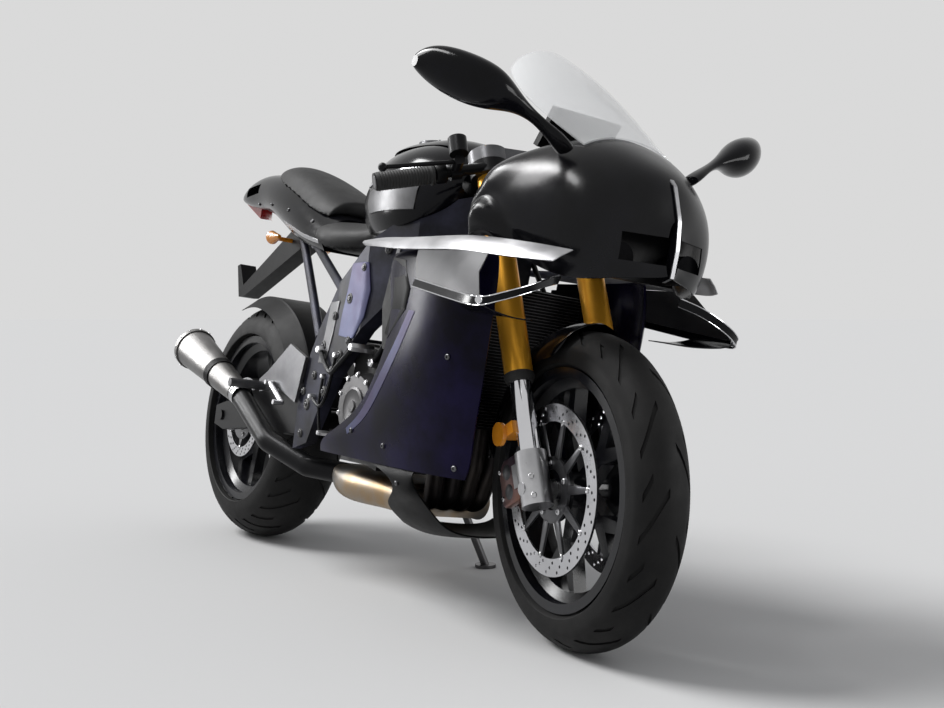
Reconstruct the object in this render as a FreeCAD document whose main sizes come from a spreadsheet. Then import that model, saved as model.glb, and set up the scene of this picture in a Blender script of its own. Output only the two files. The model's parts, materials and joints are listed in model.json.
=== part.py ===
import FreeCAD
import Part
import Sketcher
import math
import os

Vector = FreeCAD.Vector
Rotation = FreeCAD.Rotation
Placement = FreeCAD.Placement

doc = FreeCAD.newDocument("SportBike")

# Driving dimensions in millimetres and degrees
dimensions = {
    # Layout of the whole machine
    "wheelbase": 1405,
    "body_width": 500,
    "rake": 24,
    "trail": 102,
    "lean": 8,
    "steer_turn": 8.5,
    # Fits shared by all pieces
    "fit_gap": 0.3,
    "overrun": 6,
    "panel_wall": 3.5,
    # Front wheel
    "front_radius": 300,
    "front_crown": 60,
    "front_shoulder_half": 57,
    "front_bead_half": 46,
    # Rear wheel
    "rear_radius": 326,
    "rear_crown": 100,
    "rear_shoulder_half": 96,
    "rear_bead_half": 76,
    # Cast wheels, alike front and rear
    "bead_radius": 216,
    "flange_radius": 228,
    "flange_thick": 5.5,
    "rim_wall": 6,
    "rim_drop": 19,
    "rim_seat_wide": 16,
    "hub_radius": 34,
    "hub_flange_radius": 60,
    "hub_flange_thick": 9,
    "spoke_thick": 28,
    "spoke_half_root": 20,
    "spoke_fork_radius": 118,
    "spoke_tip_half": 58,
    "spoke_branch": 19,
    # Front brake
    "front_axle_radius": 12.5,
    "disc_radius": 160,
    "disc_band": 33,
    "disc_thick": 5,
    "disc_offset": 64,
    "disc_arm_wide": 13,
    "disc_eye_radius": 38,
    "caliper_length": 92,
    "caliper_depth": 74,
    "caliper_half_wide": 26,
    "caliper_slot_half": 7.5,
    "caliper_back": 116,
    "caliper_rise": 52,
    # Rear brake and final drive
    "rear_axle_radius": 14,
    "rear_disc_radius": 110,
    "rear_disc_band": 26,
    "rear_disc_offset": 88,
    "rear_caliper_length": 80,
    "rear_caliper_tall": 50,
    "chain_offset": 116,
    "chain_rear_radius": 103.7,
    "chain_front_radius": 40.7,
    "chain_half_tall": 7.5,
    "chain_half_wide": 9.5,
    "roller_radius": 5.1,
    "sprocket_thick": 7,
    # Fork and steering head
    "leg_spread": 100,
    "fork_slider_radius": 21.5,
    "fork_tube_radius": 28,
    "fork_tube_low": 223,
    "fork_cap_proud": 8,
    "fork_shoe_radius": 30,
    "fork_shoe_low": 34,
    "fork_shoe_high": 70,
    "fork_shoe_inner": 72,
    "clamp_thick": 28,
    "clamp_ring": 13,
    "low_clamp_height": 548,
    "top_clamp_height": 688,
    "clamp_web_half": 34,
    "head_tube_radius": 32,
    "head_stem_radius": 16,
    # Handlebars and hand controls
    "bar_radius": 11,
    "bar_end": 345,
    "bar_drop": 8,
    "bar_sweep": 14,
    "bar_ring_height": 30,
    "grip_radius": 17,
    "grip_length": 122,
    "lever_radius": 4.5,
    "lever_reach": 62,
    "master_radius": 11,
    "reservoir_radius": 19,
    "reservoir_height": 36,
    # Front mudguard and reflectors
    "mudguard_gap": 14,
    "mudguard_wall": 3,
    "mudguard_half": 68,
    "mudguard_arm": 6,
    "mudguard_span": 118,
    "mudguard_start": 18,
    "reflector_radius": 23,
    "reflector_back": 46,
    "reflector_rise": 122,
    "reflector_thick": 8,
    # Swingarm
    "pivot_radius": 25,
    "arm_inner": 128,
    "arm_thick": 26,
    "hugger_gap": 14,
    "hugger_half": 92,
    "hugger_span": 96,
    "hugger_start": 8,
    "shock_spring_radius": 33,
    "shock_body_radius": 22,
    # Side stand
    "stand_pin_radius": 7,
    "stand_ring_radius": 14,
    "stand_ring_tall": 25,
    "stand_leg_radius": 10,
    "stand_lug_thick": 9,
    "stand_eye_length": 34,
    "stand_foot_radius": 26,
    "stand_foot_thick": 8,
    # Exhaust
    "header_radius": 21,
    "link_pipe_radius": 26,
    "muffler_small_radius": 30,
    "muffler_large_radius": 56,
    "muffler_bore": 38,
    "muffler_bore_deep": 40,
    # Engine and radiator
    "radiator_width": 360,
    "gearbox_width": 190,
    "crankcase_width": 290,
    "cylinder_width": 210,
    "mount_radius": 17,
    "clutch_cover_radius": 78,
    "generator_cover_radius": 74,
    "pump_cover_radius": 42,
    "cover_proud": 34,
    "cover_edge": 8,
    # Lamps and gauges
    "lamp_radius": 27,
    "gauge_width": 165,
    "indicator_radius": 19,
    "indicator_length": 46,
    # Small fittings
    "peg_radius": 11,
    "peg_length": 95,
    "lever_rod_radius": 6,
    "fuel_cap_radius": 62,
    "fuel_cap_thick": 9,
    "stay_radius": 11,
    "heel_plate_thick": 8,
    "keel_thick": 7,
    "spring_seat_half": 5,
    "muffler_band": 14,
    "muffler_band_proud": 2.5,
}

sheet = doc.addObject("Spreadsheet::Sheet", "Sizes")
for row, (alias, amount) in enumerate(dimensions.items(), start=1):
    sheet.set("A%d" % row, alias)
    sheet.set("B%d" % row, str(amount))
    sheet.setAlias("B%d" % row, alias)
doc.recompute()


class Size:
    """A number together with the sheet expression that yields it."""

    def __init__(self, value, text):
        self.value = float(value)
        self.text = text

    def __float__(self):
        return self.value

    def __add__(self, other):
        other = as_size(other)
        return Size(self.value + other.value, "(%s + %s)" % (self.text, other.text))

    def __radd__(self, other):
        return as_size(other) + self

    def __sub__(self, other):
        other = as_size(other)
        return Size(self.value - other.value, "(%s - %s)" % (self.text, other.text))

    def __rsub__(self, other):
        return as_size(other) - self

    def __mul__(self, other):
        other = as_size(other)
        return Size(self.value * other.value, "(%s * %s)" % (self.text, other.text))

    def __rmul__(self, other):
        return as_size(other) * self

    def __truediv__(self, other):
        other = as_size(other)
        return Size(self.value / other.value, "(%s / %s)" % (self.text, other.text))

    def __neg__(self):
        return Size(-self.value, "(-1 * %s)" % self.text)


def as_size(item):
    if isinstance(item, Size):
        return item
    return Size(item, repr(float(item)))


def root_of(size):
    return Size(math.sqrt(size.value), "sqrt(%s)" % size.text)


def sine(size):
    return Size(math.sin(math.radians(size.value)), "sin(%s)" % size.text)


def cosine(size):
    return Size(math.cos(math.radians(size.value)), "cos(%s)" % size.text)


class SizeTable:
    """Gives each cell of the sheet by its alias."""

    def __getattr__(self, alias):
        return Size(sheet.get(alias), "Sizes.%s" % alias)


d = SizeTable()

# The steering axis meets the wheel plane behind the axle by this offset
fork_offset = d.front_radius * sine(d.rake) - d.trail * cosine(d.rake)
head_middle = (d.low_clamp_height + d.clamp_thick + d.top_clamp_height) / 2
head_x = d.wheelbase - fork_offset * cosine(d.rake) - head_middle * sine(d.rake)
head_z = d.front_radius - fork_offset * sine(d.rake) + head_middle * cosine(d.rake)

# The body grid: places on the machine are shares of these three units.
# Along runs forward from the rear axle, across to the left, up from the ground.
# The middle of the steering head is at the shares that head_shares gives.
head_x_share = 11.2162
width_share = 5.0
head_z_share = 8.6551
along = head_x / head_x_share
across = d.body_width / width_share
up = head_z / head_z_share


def grid(x_share, y_share, z_share):
    """A point of the body grid as a vector."""
    return Vector(along.value * x_share, across.value * y_share, up.value * z_share)


def bind(item, name, size):
    """Ties one property to the sheet."""
    item.setExpression(name, as_size(size).text)


faces_toward = {
    "x": Rotation(Vector(0, 1, 0), 90),
    "y": Rotation(Vector(1, 0, 0), -90),
    "z": Rotation(),
}


def seat(item, at, facing="z"):
    """Puts an item at a bound place with its own z axis along the named one."""
    item.Placement = Placement(Vector(*[float(part) for part in at]), faces_toward[facing])
    for letter, part in zip("xyz", at):
        bind(item, "Placement.Base.%s" % letter, part)
    return item


def bar(name, radius, length, at, facing="z"):
    item = doc.addObject("Part::Cylinder", name)
    bind(item, "Radius", radius)
    bind(item, "Height", length)
    return seat(item, at, facing)


def cone(name, low_radius, high_radius, length, at, facing="z"):
    item = doc.addObject("Part::Cone", name)
    bind(item, "Radius1", low_radius)
    bind(item, "Radius2", high_radius)
    bind(item, "Height", length)
    return seat(item, at, facing)


def block(name, extents, at):
    item = doc.addObject("Part::Box", name)
    for prop, extent in zip(("Length", "Width", "Height"), extents):
        bind(item, prop, extent)
    return seat(item, at)


def join(name, items):
    item = doc.addObject("Part::MultiFuse", name)
    item.Shapes = items
    return item


def cut(name, base, tool):
    item = doc.addObject("Part::Cut", name)
    item.Base = base
    item.Tool = tool
    return item


def mirrored(name, source):
    """The same piece on the other side of the centre plane."""
    item = doc.addObject("Part::Mirroring", name)
    item.Source = source
    item.Base = Vector(0, 0, 0)
    item.Normal = Vector(0, 1, 0)
    return item


def free_shape(name, shape):
    item = doc.addObject("Part::Feature", name)
    item.Shape = shape
    return item


def rod_between(name, radius, start, end):
    """A round bar between two points."""
    item = doc.addObject("Part::Cylinder", name)
    bind(item, "Radius", radius)
    item.Height = (end - start).Length
    item.Placement = Placement(start, Rotation(Vector(0, 0, 1), end - start))
    return item


def clear_reach(item, start, way, radius):
    """Length of the longest rod from a point that stops a fit gap short of an item."""
    way = Vector(way).normalize()
    turn = Rotation(Vector(0, 0, 1), way)
    span = d.wheelbase.value
    found = []
    for step in range(9):
        angle = math.pi * step / 4
        off = Vector() if step == 8 else Vector(math.cos(angle), math.sin(angle), 0) * radius
        foot = start + turn.multVec(off)
        for corner in Part.makeLine(foot, foot + way * span).common(item.Shape).Vertexes:
            found.append((corner.Point - foot).Length)
    return min(found) - d.fit_gap.value


def stay_to(name, radius, start, way, item):
    """A round rod from a point to just short of an item's wall."""
    rod = doc.addObject("Part::Cylinder", name)
    bind(rod, "Radius", radius)
    rod.Height = clear_reach(item, start, way, radius.value)
    rod.Placement = Placement(start, Rotation(Vector(0, 0, 1), way))
    return rod


# Sketched bodies
def new_body(name):
    return doc.addObject("PartDesign::Body", name)


def origin_part(body, role):
    return [part for part in body.Origin.OriginFeatures if part.Role == role][0]


def arc_centre(start, end, radius):
    """Centre of the arc that bulges to the right of the way from start to end."""
    middle = (start + end) * 0.5
    way = end - start
    left = Vector(-way.y, way.x, 0).normalize()
    return middle + left * math.sqrt(radius * radius - way.Length * way.Length / 4)


def draw(body, name, role, outline, level=None):
    """A closed sketch; each corner is (u, v), or (u, v, r) where an arc leaves it."""
    sketch = body.newObject("Sketcher::SketchObject", name)
    sketch.AttachmentSupport = [(origin_part(body, role), "")]
    sketch.MapMode = "FlatFace"
    if level is not None:
        bind(sketch, "AttachmentOffset.Base.z", level)
    corners = [Vector(float(corner[0]), float(corner[1]), 0) for corner in outline]
    count = len(corners)
    ends = []
    for index, corner in enumerate(outline):
        start = corners[index]
        end = corners[(index + 1) % count]
        if len(corner) == 3:
            radius = float(corner[2])
            centre = arc_centre(start, end, radius)
            first = math.atan2(start.y - centre.y, start.x - centre.x)
            last = math.atan2(end.y - centre.y, end.x - centre.x)
            circle = Part.Circle(centre, Vector(0, 0, 1), radius)
            sketch.addGeometry(Part.ArcOfCircle(circle, first, last))
        else:
            sketch.addGeometry(Part.LineSegment(start, end))
        ends.append((1, 2))
    for index in range(count):
        following = (index + 1) % count
        sketch.addConstraint(Sketcher.Constraint("Coincident", index, 2, following, 1))
    for index, corner in enumerate(outline):
        for kind, part in zip(("DistanceX", "DistanceY"), corner[:2]):
            number = sketch.addConstraint(
                Sketcher.Constraint(kind, -1, 1, index, 1, float(part)))
            bind(sketch, "Constraints[%d]" % number, part)
        if len(corner) == 3:
            number = sketch.addConstraint(
                Sketcher.Constraint("Radius", index, float(corner[2])))
            bind(sketch, "Constraints[%d]" % number, corner[2])
    return sketch


def add_turned(body, name, outline):
    """Revolves an outline of (radius, place) corners about the y axis."""
    sketch = draw(body, name + "_section", "XY_Plane", outline)
    turn = body.newObject("PartDesign::Revolution", name)
    turn.Profile = sketch
    turn.ReferenceAxis = (sketch, ["V_Axis"])
    turn.Angle = 360
    return turn


def turned(name, outline):
    body = new_body(name)
    add_turned(body, name + "_turn", outline)
    return body


def add_plate(body, name, outline, thick, middle):
    """Pads an (x, z) outline evenly to both sides of a plane across the machine."""
    sketch = draw(body, name + "_outline", "XZ_Plane", outline, -as_size(middle))
    pad = body.newObject("PartDesign::Pad", name)
    pad.Profile = sketch
    pad.Midplane = True
    bind(pad, "Length", thick)
    return pad


def plate(name, outline, thick, middle):
    body = new_body(name)
    add_plate(body, name + "_pad", outline, thick, middle)
    return body


def on_grid(corner_shares):
    """Turns (x, z) shares of the body grid into bound corners."""
    return [(along * x_share, up * z_share) for x_share, z_share in corner_shares]


def lofted(name, role, stations):
    """A loft through outlines at bound levels along the normal of a plane."""
    body = new_body(name)
    sketches = []
    for number, (level, outline) in enumerate(stations):
        sketches.append(draw(body, "%s_section_%d" % (name, number), role, outline, level))
    loft = body.newObject("PartDesign::AdditiveLoft", name + "_loft")
    loft.Profile = sketches[0]
    loft.Sections = sketches[1:]
    loft.Ruled = True
    return body


def ring_of(body, feature, axis, count):
    """Repeats a feature evenly round an origin axis."""
    pattern = body.newObject("PartDesign::PolarPattern", feature.Name + "_ring")
    pattern.Originals = [feature]
    pattern.Axis = (origin_part(body, axis), [""])
    pattern.Angle = 360
    pattern.Occurrences = count
    body.Tip = pattern
    return pattern


# Freeform shells and closed forms
def smooth_line(points):
    curve = Part.BSplineCurve()
    curve.interpolate(points)
    return curve.toShape()


def both_sides(half):
    """Mirrors centre-to-edge points so that they run from the right edge to the left."""
    right = [Vector(point.x, -point.y, point.z) for point in reversed(half)]
    return right + half[1:]


def closed_form(name, stations):
    """A solid through sections given as (x, [(y, z) from the top centre down])."""
    wires = []
    for x_share, half_shares in stations:
        half = [grid(x_share, y_share, z_share) for y_share, z_share in half_shares]
        points = both_sides(half)
        base = Part.makeLine(points[-1], points[0])
        wires.append(Part.Wire([smooth_line(points), base]))
    return free_shape(name, Part.makeLoft(wires, True, False))


def inward(points, row, place, core_rise):
    """Unit normal of a point grid that looks to the core line of the machine."""
    below = points[max(row - 1, 0)][place]
    above = points[min(row + 1, len(points) - 1)][place]
    before = points[row][max(place - 1, 0)]
    after = points[row][min(place + 1, len(points[row]) - 1)]
    normal = (above - below).cross(after - before).normalize()
    here = points[row][place]
    core = Vector(here.x, 0, here.z if core_rise is None else core_rise)
    if normal.dot(core - here) < 0:
        normal = -normal
    return normal


def panel(name, rows, wall, core_rise=None):
    """A thin moulded wall through rows of points, its thickness on the inner side."""
    back = []
    for row, points in enumerate(rows):
        back.append([point + inward(rows, row, place, core_rise) * wall
                     for place, point in enumerate(points)])
    front_skin = Part.BSplineSurface()
    front_skin.interpolate(rows)
    back_skin = Part.BSplineSurface()
    back_skin.interpolate(back)
    faces = [front_skin.toShape(), back_skin.toShape()]
    first_row, last_row, first_place, last_place = front_skin.bounds()
    for skin_edge, at in (("uIso", first_row), ("uIso", last_row),
                          ("vIso", first_place), ("vIso", last_place)):
        outer_edge = getattr(front_skin, skin_edge)(at).toShape()
        inner_edge = getattr(back_skin, skin_edge)(at).toShape()
        faces.append(Part.makeRuledSurface(outer_edge, inner_edge))
    shell = Part.makeShell(faces)
    shell.sewShape()
    solid = Part.makeSolid(shell)
    if solid.Volume < 0:
        solid.reverse()
    return free_shape(name, solid)


def hooded(name, stations, wall, core_share):
    """A panel that arches over the centre plane, from (x, half section) stations."""
    rows = []
    for x_share, half_shares in stations:
        half = [grid(x_share, y_share, z_share) for y_share, z_share in half_shares]
        rows.append(both_sides(half))
    return panel(name, rows, wall, up.value * core_share)


def side_rows(row_shares):
    """Rows of (x, y) points at a height, each given as (z, [(x, y), ...])."""
    rows = []
    for z_share, places in row_shares:
        rows.append([grid(x_share, y_share, z_share) for x_share, y_share in places])
    return rows


def pipe(name, points, radius, bend):
    """A round bar along straight runs joined by tangent arcs."""
    edges = []
    start = points[0]
    for index in range(1, len(points) - 1):
        corner = points[index]
        to_start = (points[index - 1] - corner).normalize()
        to_end = (points[index + 1] - corner).normalize()
        half_turn = (math.pi - to_start.getAngle(to_end)) / 2
        reach = bend * math.tan(half_turn)
        first = corner + to_start * reach
        last = corner + to_end * reach
        middle_way = (to_start + to_end).normalize()
        middle = corner + middle_way * (bend / math.cos(half_turn) - bend)
        edges.append(Part.makeLine(start, first))
        edges.append(Part.Arc(first, middle, last).toShape())
        start = last
    edges.append(Part.makeLine(start, points[-1]))
    path = Part.Wire(edges)
    mouth = Part.Wire([Part.makeCircle(radius, points[0], points[1] - points[0])])
    sweep = path.makePipeShell([mouth], True, False)
    return free_shape(name, sweep)


# Sub-parts are gathered here under the moving group that carries them
groups = {"root": [], "steering": [], "front_wheel": [], "rear_wheel": [], "side_stand": []}


def sub_part(label, group, items):
    """A named piece of the machine, made of one or more solids."""
    item = doc.addObject("Part::Compound", label)
    item.Label = label
    item.Links = items
    groups[group].append(item)
    return item


# Wheels, built about their own centres with the axle along y
def tyre(label, group, radius, crown, shoulder_half, bead_half):
    ring = radius - crown
    shoulder = ring + root_of(crown * crown - shoulder_half * shoulder_half)
    wall_share = 0.45
    wall = d.bead_radius + (shoulder - d.bead_radius) * wall_share
    wall_half = shoulder_half - d.fit_gap
    lip = d.flange_radius + d.fit_gap
    outline = [
        (d.bead_radius, -bead_half),
        (lip, -bead_half),
        (wall, -wall_half),
        (shoulder, -shoulder_half, crown),
        (shoulder, shoulder_half),
        (wall, wall_half),
        (lip, bead_half),
        (d.bead_radius, bead_half),
    ]
    return sub_part(label, group, [turned(label + "_ring", outline)])


def wheel_casting(label, group, bead_half, axle_radius, hub_right, hub_left):
    """Rim barrel, hub with bolt flanges, and five forked spokes."""
    body = new_body(label + "_casting")
    seat_radius = d.bead_radius - d.fit_gap
    lip_half = bead_half + d.fit_gap
    edge_half = lip_half + d.flange_thick
    well_half = bead_half - d.rim_seat_wide - d.rim_drop / 2
    shelf_half = bead_half - d.rim_seat_wide
    well = seat_radius - d.rim_drop
    under = seat_radius - d.rim_wall
    well_under = well - d.rim_wall
    add_turned(body, label + "_barrel", [
        (d.flange_radius, -edge_half),
        (d.flange_radius, -lip_half),
        (seat_radius, -lip_half),
        (seat_radius, -shelf_half),
        (well, -well_half),
        (well, well_half),
        (seat_radius, shelf_half),
        (seat_radius, lip_half),
        (d.flange_radius, lip_half),
        (d.flange_radius, edge_half),
        (under, edge_half),
        (under, shelf_half),
        (well_under, well_half),
        (well_under, -well_half),
        (under, -shelf_half),
        (under, -edge_half),
    ])
    bore = axle_radius + d.fit_gap
    neck = d.hub_flange_thick + d.hub_flange_thick
    add_turned(body, label + "_hub", [
        (bore, -hub_right),
        (d.hub_flange_radius, -hub_right),
        (d.hub_flange_radius, -hub_right + d.hub_flange_thick),
        (d.hub_radius, -hub_right + neck),
        (d.hub_radius, hub_left - neck),
        (d.hub_flange_radius, hub_left - d.hub_flange_thick),
        (d.hub_flange_radius, hub_left),
        (bore, hub_left),
    ])
    fork_half_share = 0.8
    tip_drop_share = 0.96
    root_radius = d.hub_radius - d.fit_gap
    tip = well_under + d.rim_wall / 2
    inner_tip = d.spoke_tip_half - d.spoke_branch
    spoke_thick = d.spoke_thick
    spoke = add_plate(body, label + "_spoke", [
        (-d.spoke_half_root, root_radius - d.rim_wall),
        (-d.spoke_half_root * fork_half_share, d.spoke_fork_radius - d.spoke_branch),
        (-d.spoke_tip_half, tip * tip_drop_share),
        (-inner_tip, tip * tip_drop_share + d.rim_wall / 2),
        (0, d.spoke_fork_radius + d.spoke_branch / 2),
        (inner_tip, tip * tip_drop_share + d.rim_wall / 2),
        (d.spoke_tip_half, tip * tip_drop_share),
        (d.spoke_half_root * fork_half_share, d.spoke_fork_radius - d.spoke_branch),
        (d.spoke_half_root, root_radius - d.rim_wall),
    ], spoke_thick, 0)
    ring_of(body, spoke, "Y_Axis", 5)
    return sub_part(label, group, [body])


def brake_disc(name, radius, band, middle, arm_count):
    """A ring carried by arms on a bolt flange, its faces across the axle."""
    body = new_body(name)
    half = d.disc_thick / 2
    inner = radius - band
    rim_overlap = d.disc_thick / 2
    flange = d.hub_flange_radius
    add_turned(body, name + "_band", [
        (inner, middle - half), (radius, middle - half),
        (radius, middle + half), (inner, middle + half)])
    add_turned(body, name + "_flange", [
        (d.disc_eye_radius, middle - half), (flange, middle - half),
        (flange, middle + half), (d.disc_eye_radius, middle + half)])
    arm_half = d.disc_arm_wide / 2
    arm = add_plate(body, name + "_arm", [
        (-arm_half, flange - rim_overlap), (arm_half, flange - rim_overlap),
        (arm_half, inner + rim_overlap), (-arm_half, inner + rim_overlap)],
        d.disc_thick, middle)
    ring_of(body, arm, "Y_Axis", arm_count)
    return body


def build_wheels():
    tyre("front_tyre", "front_wheel", d.front_radius, d.front_crown,
         d.front_shoulder_half, d.front_bead_half)
    hub_half = d.disc_offset - d.disc_thick / 2
    wheel_casting("front_rim", "front_wheel", d.front_bead_half, d.front_axle_radius,
                  hub_half, hub_half)
    sub_part("front_discs", "front_wheel", [
        brake_disc("front_disc_right", d.disc_radius, d.disc_band, -d.disc_offset, 10),
        brake_disc("front_disc_left", d.disc_radius, d.disc_band, d.disc_offset, 10)])
    tyre("rear_tyre", "rear_wheel", d.rear_radius, d.rear_crown,
         d.rear_shoulder_half, d.rear_bead_half)
    hub_right = d.rear_disc_offset - d.disc_thick / 2
    hub_left = d.chain_offset - d.sprocket_thick / 2
    wheel_casting("rear_rim", "rear_wheel", d.rear_bead_half, d.rear_axle_radius,
                  hub_right, hub_left)
    sub_part("rear_disc", "rear_wheel", [
        brake_disc("rear_disc_plate", d.rear_disc_radius, d.rear_disc_band,
                   -d.rear_disc_offset, 6)])
    tooth_tip = d.chain_rear_radius - d.roller_radius - d.fit_gap
    half = d.sprocket_thick / 2
    sub_part("rear_sprocket", "rear_wheel", [turned("rear_sprocket_plate", [
        (d.disc_eye_radius, d.chain_offset - half), (tooth_tip, d.chain_offset - half),
        (tooth_tip, d.chain_offset + half), (d.disc_eye_radius, d.chain_offset + half)])])


# Steering pieces, in a frame whose z is the steering axis and x looks forward
rake_angle = math.radians(d.rake.value)


def build_fork():
    inner_tubes = []
    outer_tubes = []
    shoes = []
    tube_high = d.top_clamp_height + d.clamp_thick + d.fork_cap_proud
    for side, word in ((-1, "right"), (1, "left")):
        leg = d.leg_spread * side
        inner_tubes.append(bar(
            "slider_" + word, d.fork_slider_radius, d.fork_tube_low - d.fork_shoe_high,
            (fork_offset, leg, d.fork_shoe_high)))
        outer_tubes.append(bar(
            "outer_tube_" + word, d.fork_tube_radius, tube_high - d.fork_tube_low,
            (fork_offset, leg, d.fork_tube_low)))
        shoes.append(bar(
            "shoe_" + word, d.fork_shoe_radius, d.fork_shoe_low + d.fork_shoe_high,
            (fork_offset, leg, -d.fork_shoe_low)))
    sub_part("fork_sliders", "steering", inner_tubes)
    sub_part("fork_tubes", "steering", outer_tubes)
    spread_outer = d.leg_spread + d.fork_shoe_radius
    axle = bar("front_axle", d.front_axle_radius, spread_outer * 2,
               (fork_offset, -spread_outer, 0), "y")
    hub_half = d.disc_offset - d.disc_thick / 2
    spacer_start = hub_half + d.fit_gap
    spacers = []
    for side, word in ((-1, "right"), (1, "left")):
        length = d.leg_spread - spacer_start
        start = spacer_start if side > 0 else -d.leg_spread
        spacers.append(bar("axle_spacer_" + word, d.disc_eye_radius / 2, length,
                           (fork_offset, start, 0), "y"))
    lugs = []
    lug_wide = d.leg_spread - d.fork_shoe_inner
    near_face = d.caliper_back - d.caliper_depth / 2
    lug_tall = d.caliper_length / 2
    for side, word in ((-1, "right"), (1, "left")):
        start = d.fork_shoe_inner if side > 0 else -d.leg_spread
        lugs.append(block("caliper_lug_" + word, (near_face, lug_wide, lug_tall),
                          (fork_offset - near_face, start, d.fork_shoe_high - lug_tall)))
    sub_part("fork_shoes", "steering", [
        join("fork_shoe_set", shoes + [axle] + spacers + lugs)])


def clamp(name, height):
    """A bridge that rings both fork legs."""
    ring_radius = d.fork_tube_radius + d.clamp_ring
    parts = []
    holes = []
    for side, word in ((-1, "right"), (1, "left")):
        leg = d.leg_spread * side
        parts.append(bar("%s_ring_%s" % (name, word), ring_radius, d.clamp_thick,
                         (fork_offset, leg, height)))
        holes.append(bar("%s_hole_%s" % (name, word), d.fork_tube_radius + d.fit_gap,
                         d.clamp_thick + d.overrun * 2, (fork_offset, leg, height - d.overrun)))
    web_start = fork_offset - d.clamp_web_half
    parts.append(block(name + "_web", (d.clamp_web_half * 2, d.leg_spread * 2, d.clamp_thick),
                       (web_start, -d.leg_spread, height)))
    parts.append(bar(name + "_boss", d.head_tube_radius, d.clamp_thick, (0, 0, height)))
    whole = join(name + "_bridge", parts)
    return cut(name, whole, join(name + "_holes", holes))


def angled_bar(name, radius, length, at, direction):
    item = doc.addObject("Part::Cylinder", name)
    bind(item, "Radius", radius)
    bind(item, "Height", length)
    spot = Vector(*[float(part) for part in at])
    item.Placement = Placement(spot, Rotation(Vector(0, 0, 1), direction))
    for letter, part in zip("xyz", at):
        bind(item, "Placement.Base.%s" % letter, part)
    return item


def build_steering_top():
    sub_part("fork_clamps", "steering", [
        join("clamp_pair", [
            clamp("low_clamp", d.low_clamp_height),
            clamp("top_clamp", d.top_clamp_height),
            bar("steering_stem", d.head_stem_radius,
                d.top_clamp_height - d.low_clamp_height, (0, 0, d.low_clamp_height))])])
    sweep = math.radians(d.bar_sweep.value)
    drop = math.radians(d.bar_drop.value)
    bars = []
    levers = []
    for side, word in ((-1, "right"), (1, "left")):
        leg = d.leg_spread * side
        ring_low = d.top_clamp_height - d.bar_ring_height - d.fit_gap
        ring = bar("bar_ring_" + word, d.fork_tube_radius + d.clamp_ring, d.bar_ring_height,
                   (fork_offset, leg, ring_low))
        hole = bar("bar_ring_hole_" + word, d.fork_tube_radius + d.fit_gap,
                   d.bar_ring_height + d.overrun * 2, (fork_offset, leg, ring_low - d.overrun))
        direction = Vector(-math.sin(sweep), side * math.cos(sweep), -math.sin(drop))
        direction.normalize()
        root = (fork_offset + d.fork_tube_radius, leg, ring_low + d.bar_ring_height / 2)
        run = (d.bar_end - d.leg_spread) / abs(direction.y)
        handle = angled_bar("bar_tube_" + word, d.bar_radius, run, root, direction)
        grip_start = run - d.grip_length
        grip_root = Vector(*[float(part) for part in root]) + direction * grip_start.value
        grip = doc.addObject("Part::Cylinder", "grip_" + word)
        bind(grip, "Radius", d.grip_radius)
        bind(grip, "Height", d.grip_length)
        grip.Placement = Placement(grip_root, Rotation(Vector(0, 0, 1), direction))
        solid = join("bar_whole_" + word, [ring, handle, grip])
        bars.append(cut("bar_" + word, solid, hole))
        if side < 0:
            control, pot = hand_control(direction, Vector(*[float(part) for part in root]))
    sub_part("handlebars", "steering", bars)
    sub_part("hand_levers", "steering", [control, pot, mirrored("clutch_control", control)])


def hand_control(direction, root):
    """Perch, lever in front of the grip, and the fluid pot of the right side."""
    forward = Vector(1, 0, 0) - direction * direction.x
    forward.normalize()
    perch_share = 0.30
    run = (d.bar_end.value - d.leg_spread.value) / abs(direction.y)
    perch = root + direction * (run * perch_share)
    reach = d.lever_reach.value
    turn = Rotation(Vector(0, 0, 1), direction)
    ring = doc.addObject("Part::Cylinder", "perch")
    bind(ring, "Radius", d.grip_radius)
    bind(ring, "Height", d.master_radius * 2)
    ring.Placement = Placement(perch, turn)
    hole = doc.addObject("Part::Cylinder", "perch_hole")
    bind(hole, "Radius", d.bar_radius + d.fit_gap)
    bind(hole, "Height", d.master_radius * 4)
    hole.Placement = Placement(perch - direction * d.master_radius.value, turn)
    middle = perch + direction * d.master_radius.value
    arm_start_share = 0.9
    pivot_share = 0.55
    span_share = 0.62
    out_share = 0.1
    arm_start = middle + forward * (d.grip_radius.value * arm_start_share)
    pivot = arm_start + forward * (reach * pivot_share)
    arm = rod_between("perch_arm", d.master_radius, arm_start, pivot)
    lever_root = pivot - forward * (d.master_radius.value * arm_start_share)
    tip = pivot + direction * (run * span_share) + forward * (reach * out_share)
    lever = rod_between("lever", d.lever_radius, lever_root, tip)
    ball = doc.addObject("Part::Sphere", "lever_ball")
    bind(ball, "Radius", d.lever_radius * 2)
    ball.Placement = Placement(tip, turn)
    control = cut("control_drilled", join("control_whole", [ring, arm, lever, ball]), hole)
    pot = doc.addObject("Part::Cylinder", "fluid_pot")
    bind(pot, "Radius", d.reservoir_radius)
    bind(pot, "Height", d.reservoir_height)
    pot_rise = Vector(0, 0, d.master_radius.value + d.fit_gap.value)
    pot.Placement = Placement(pivot + pot_rise, Rotation())
    return control, pot


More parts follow.
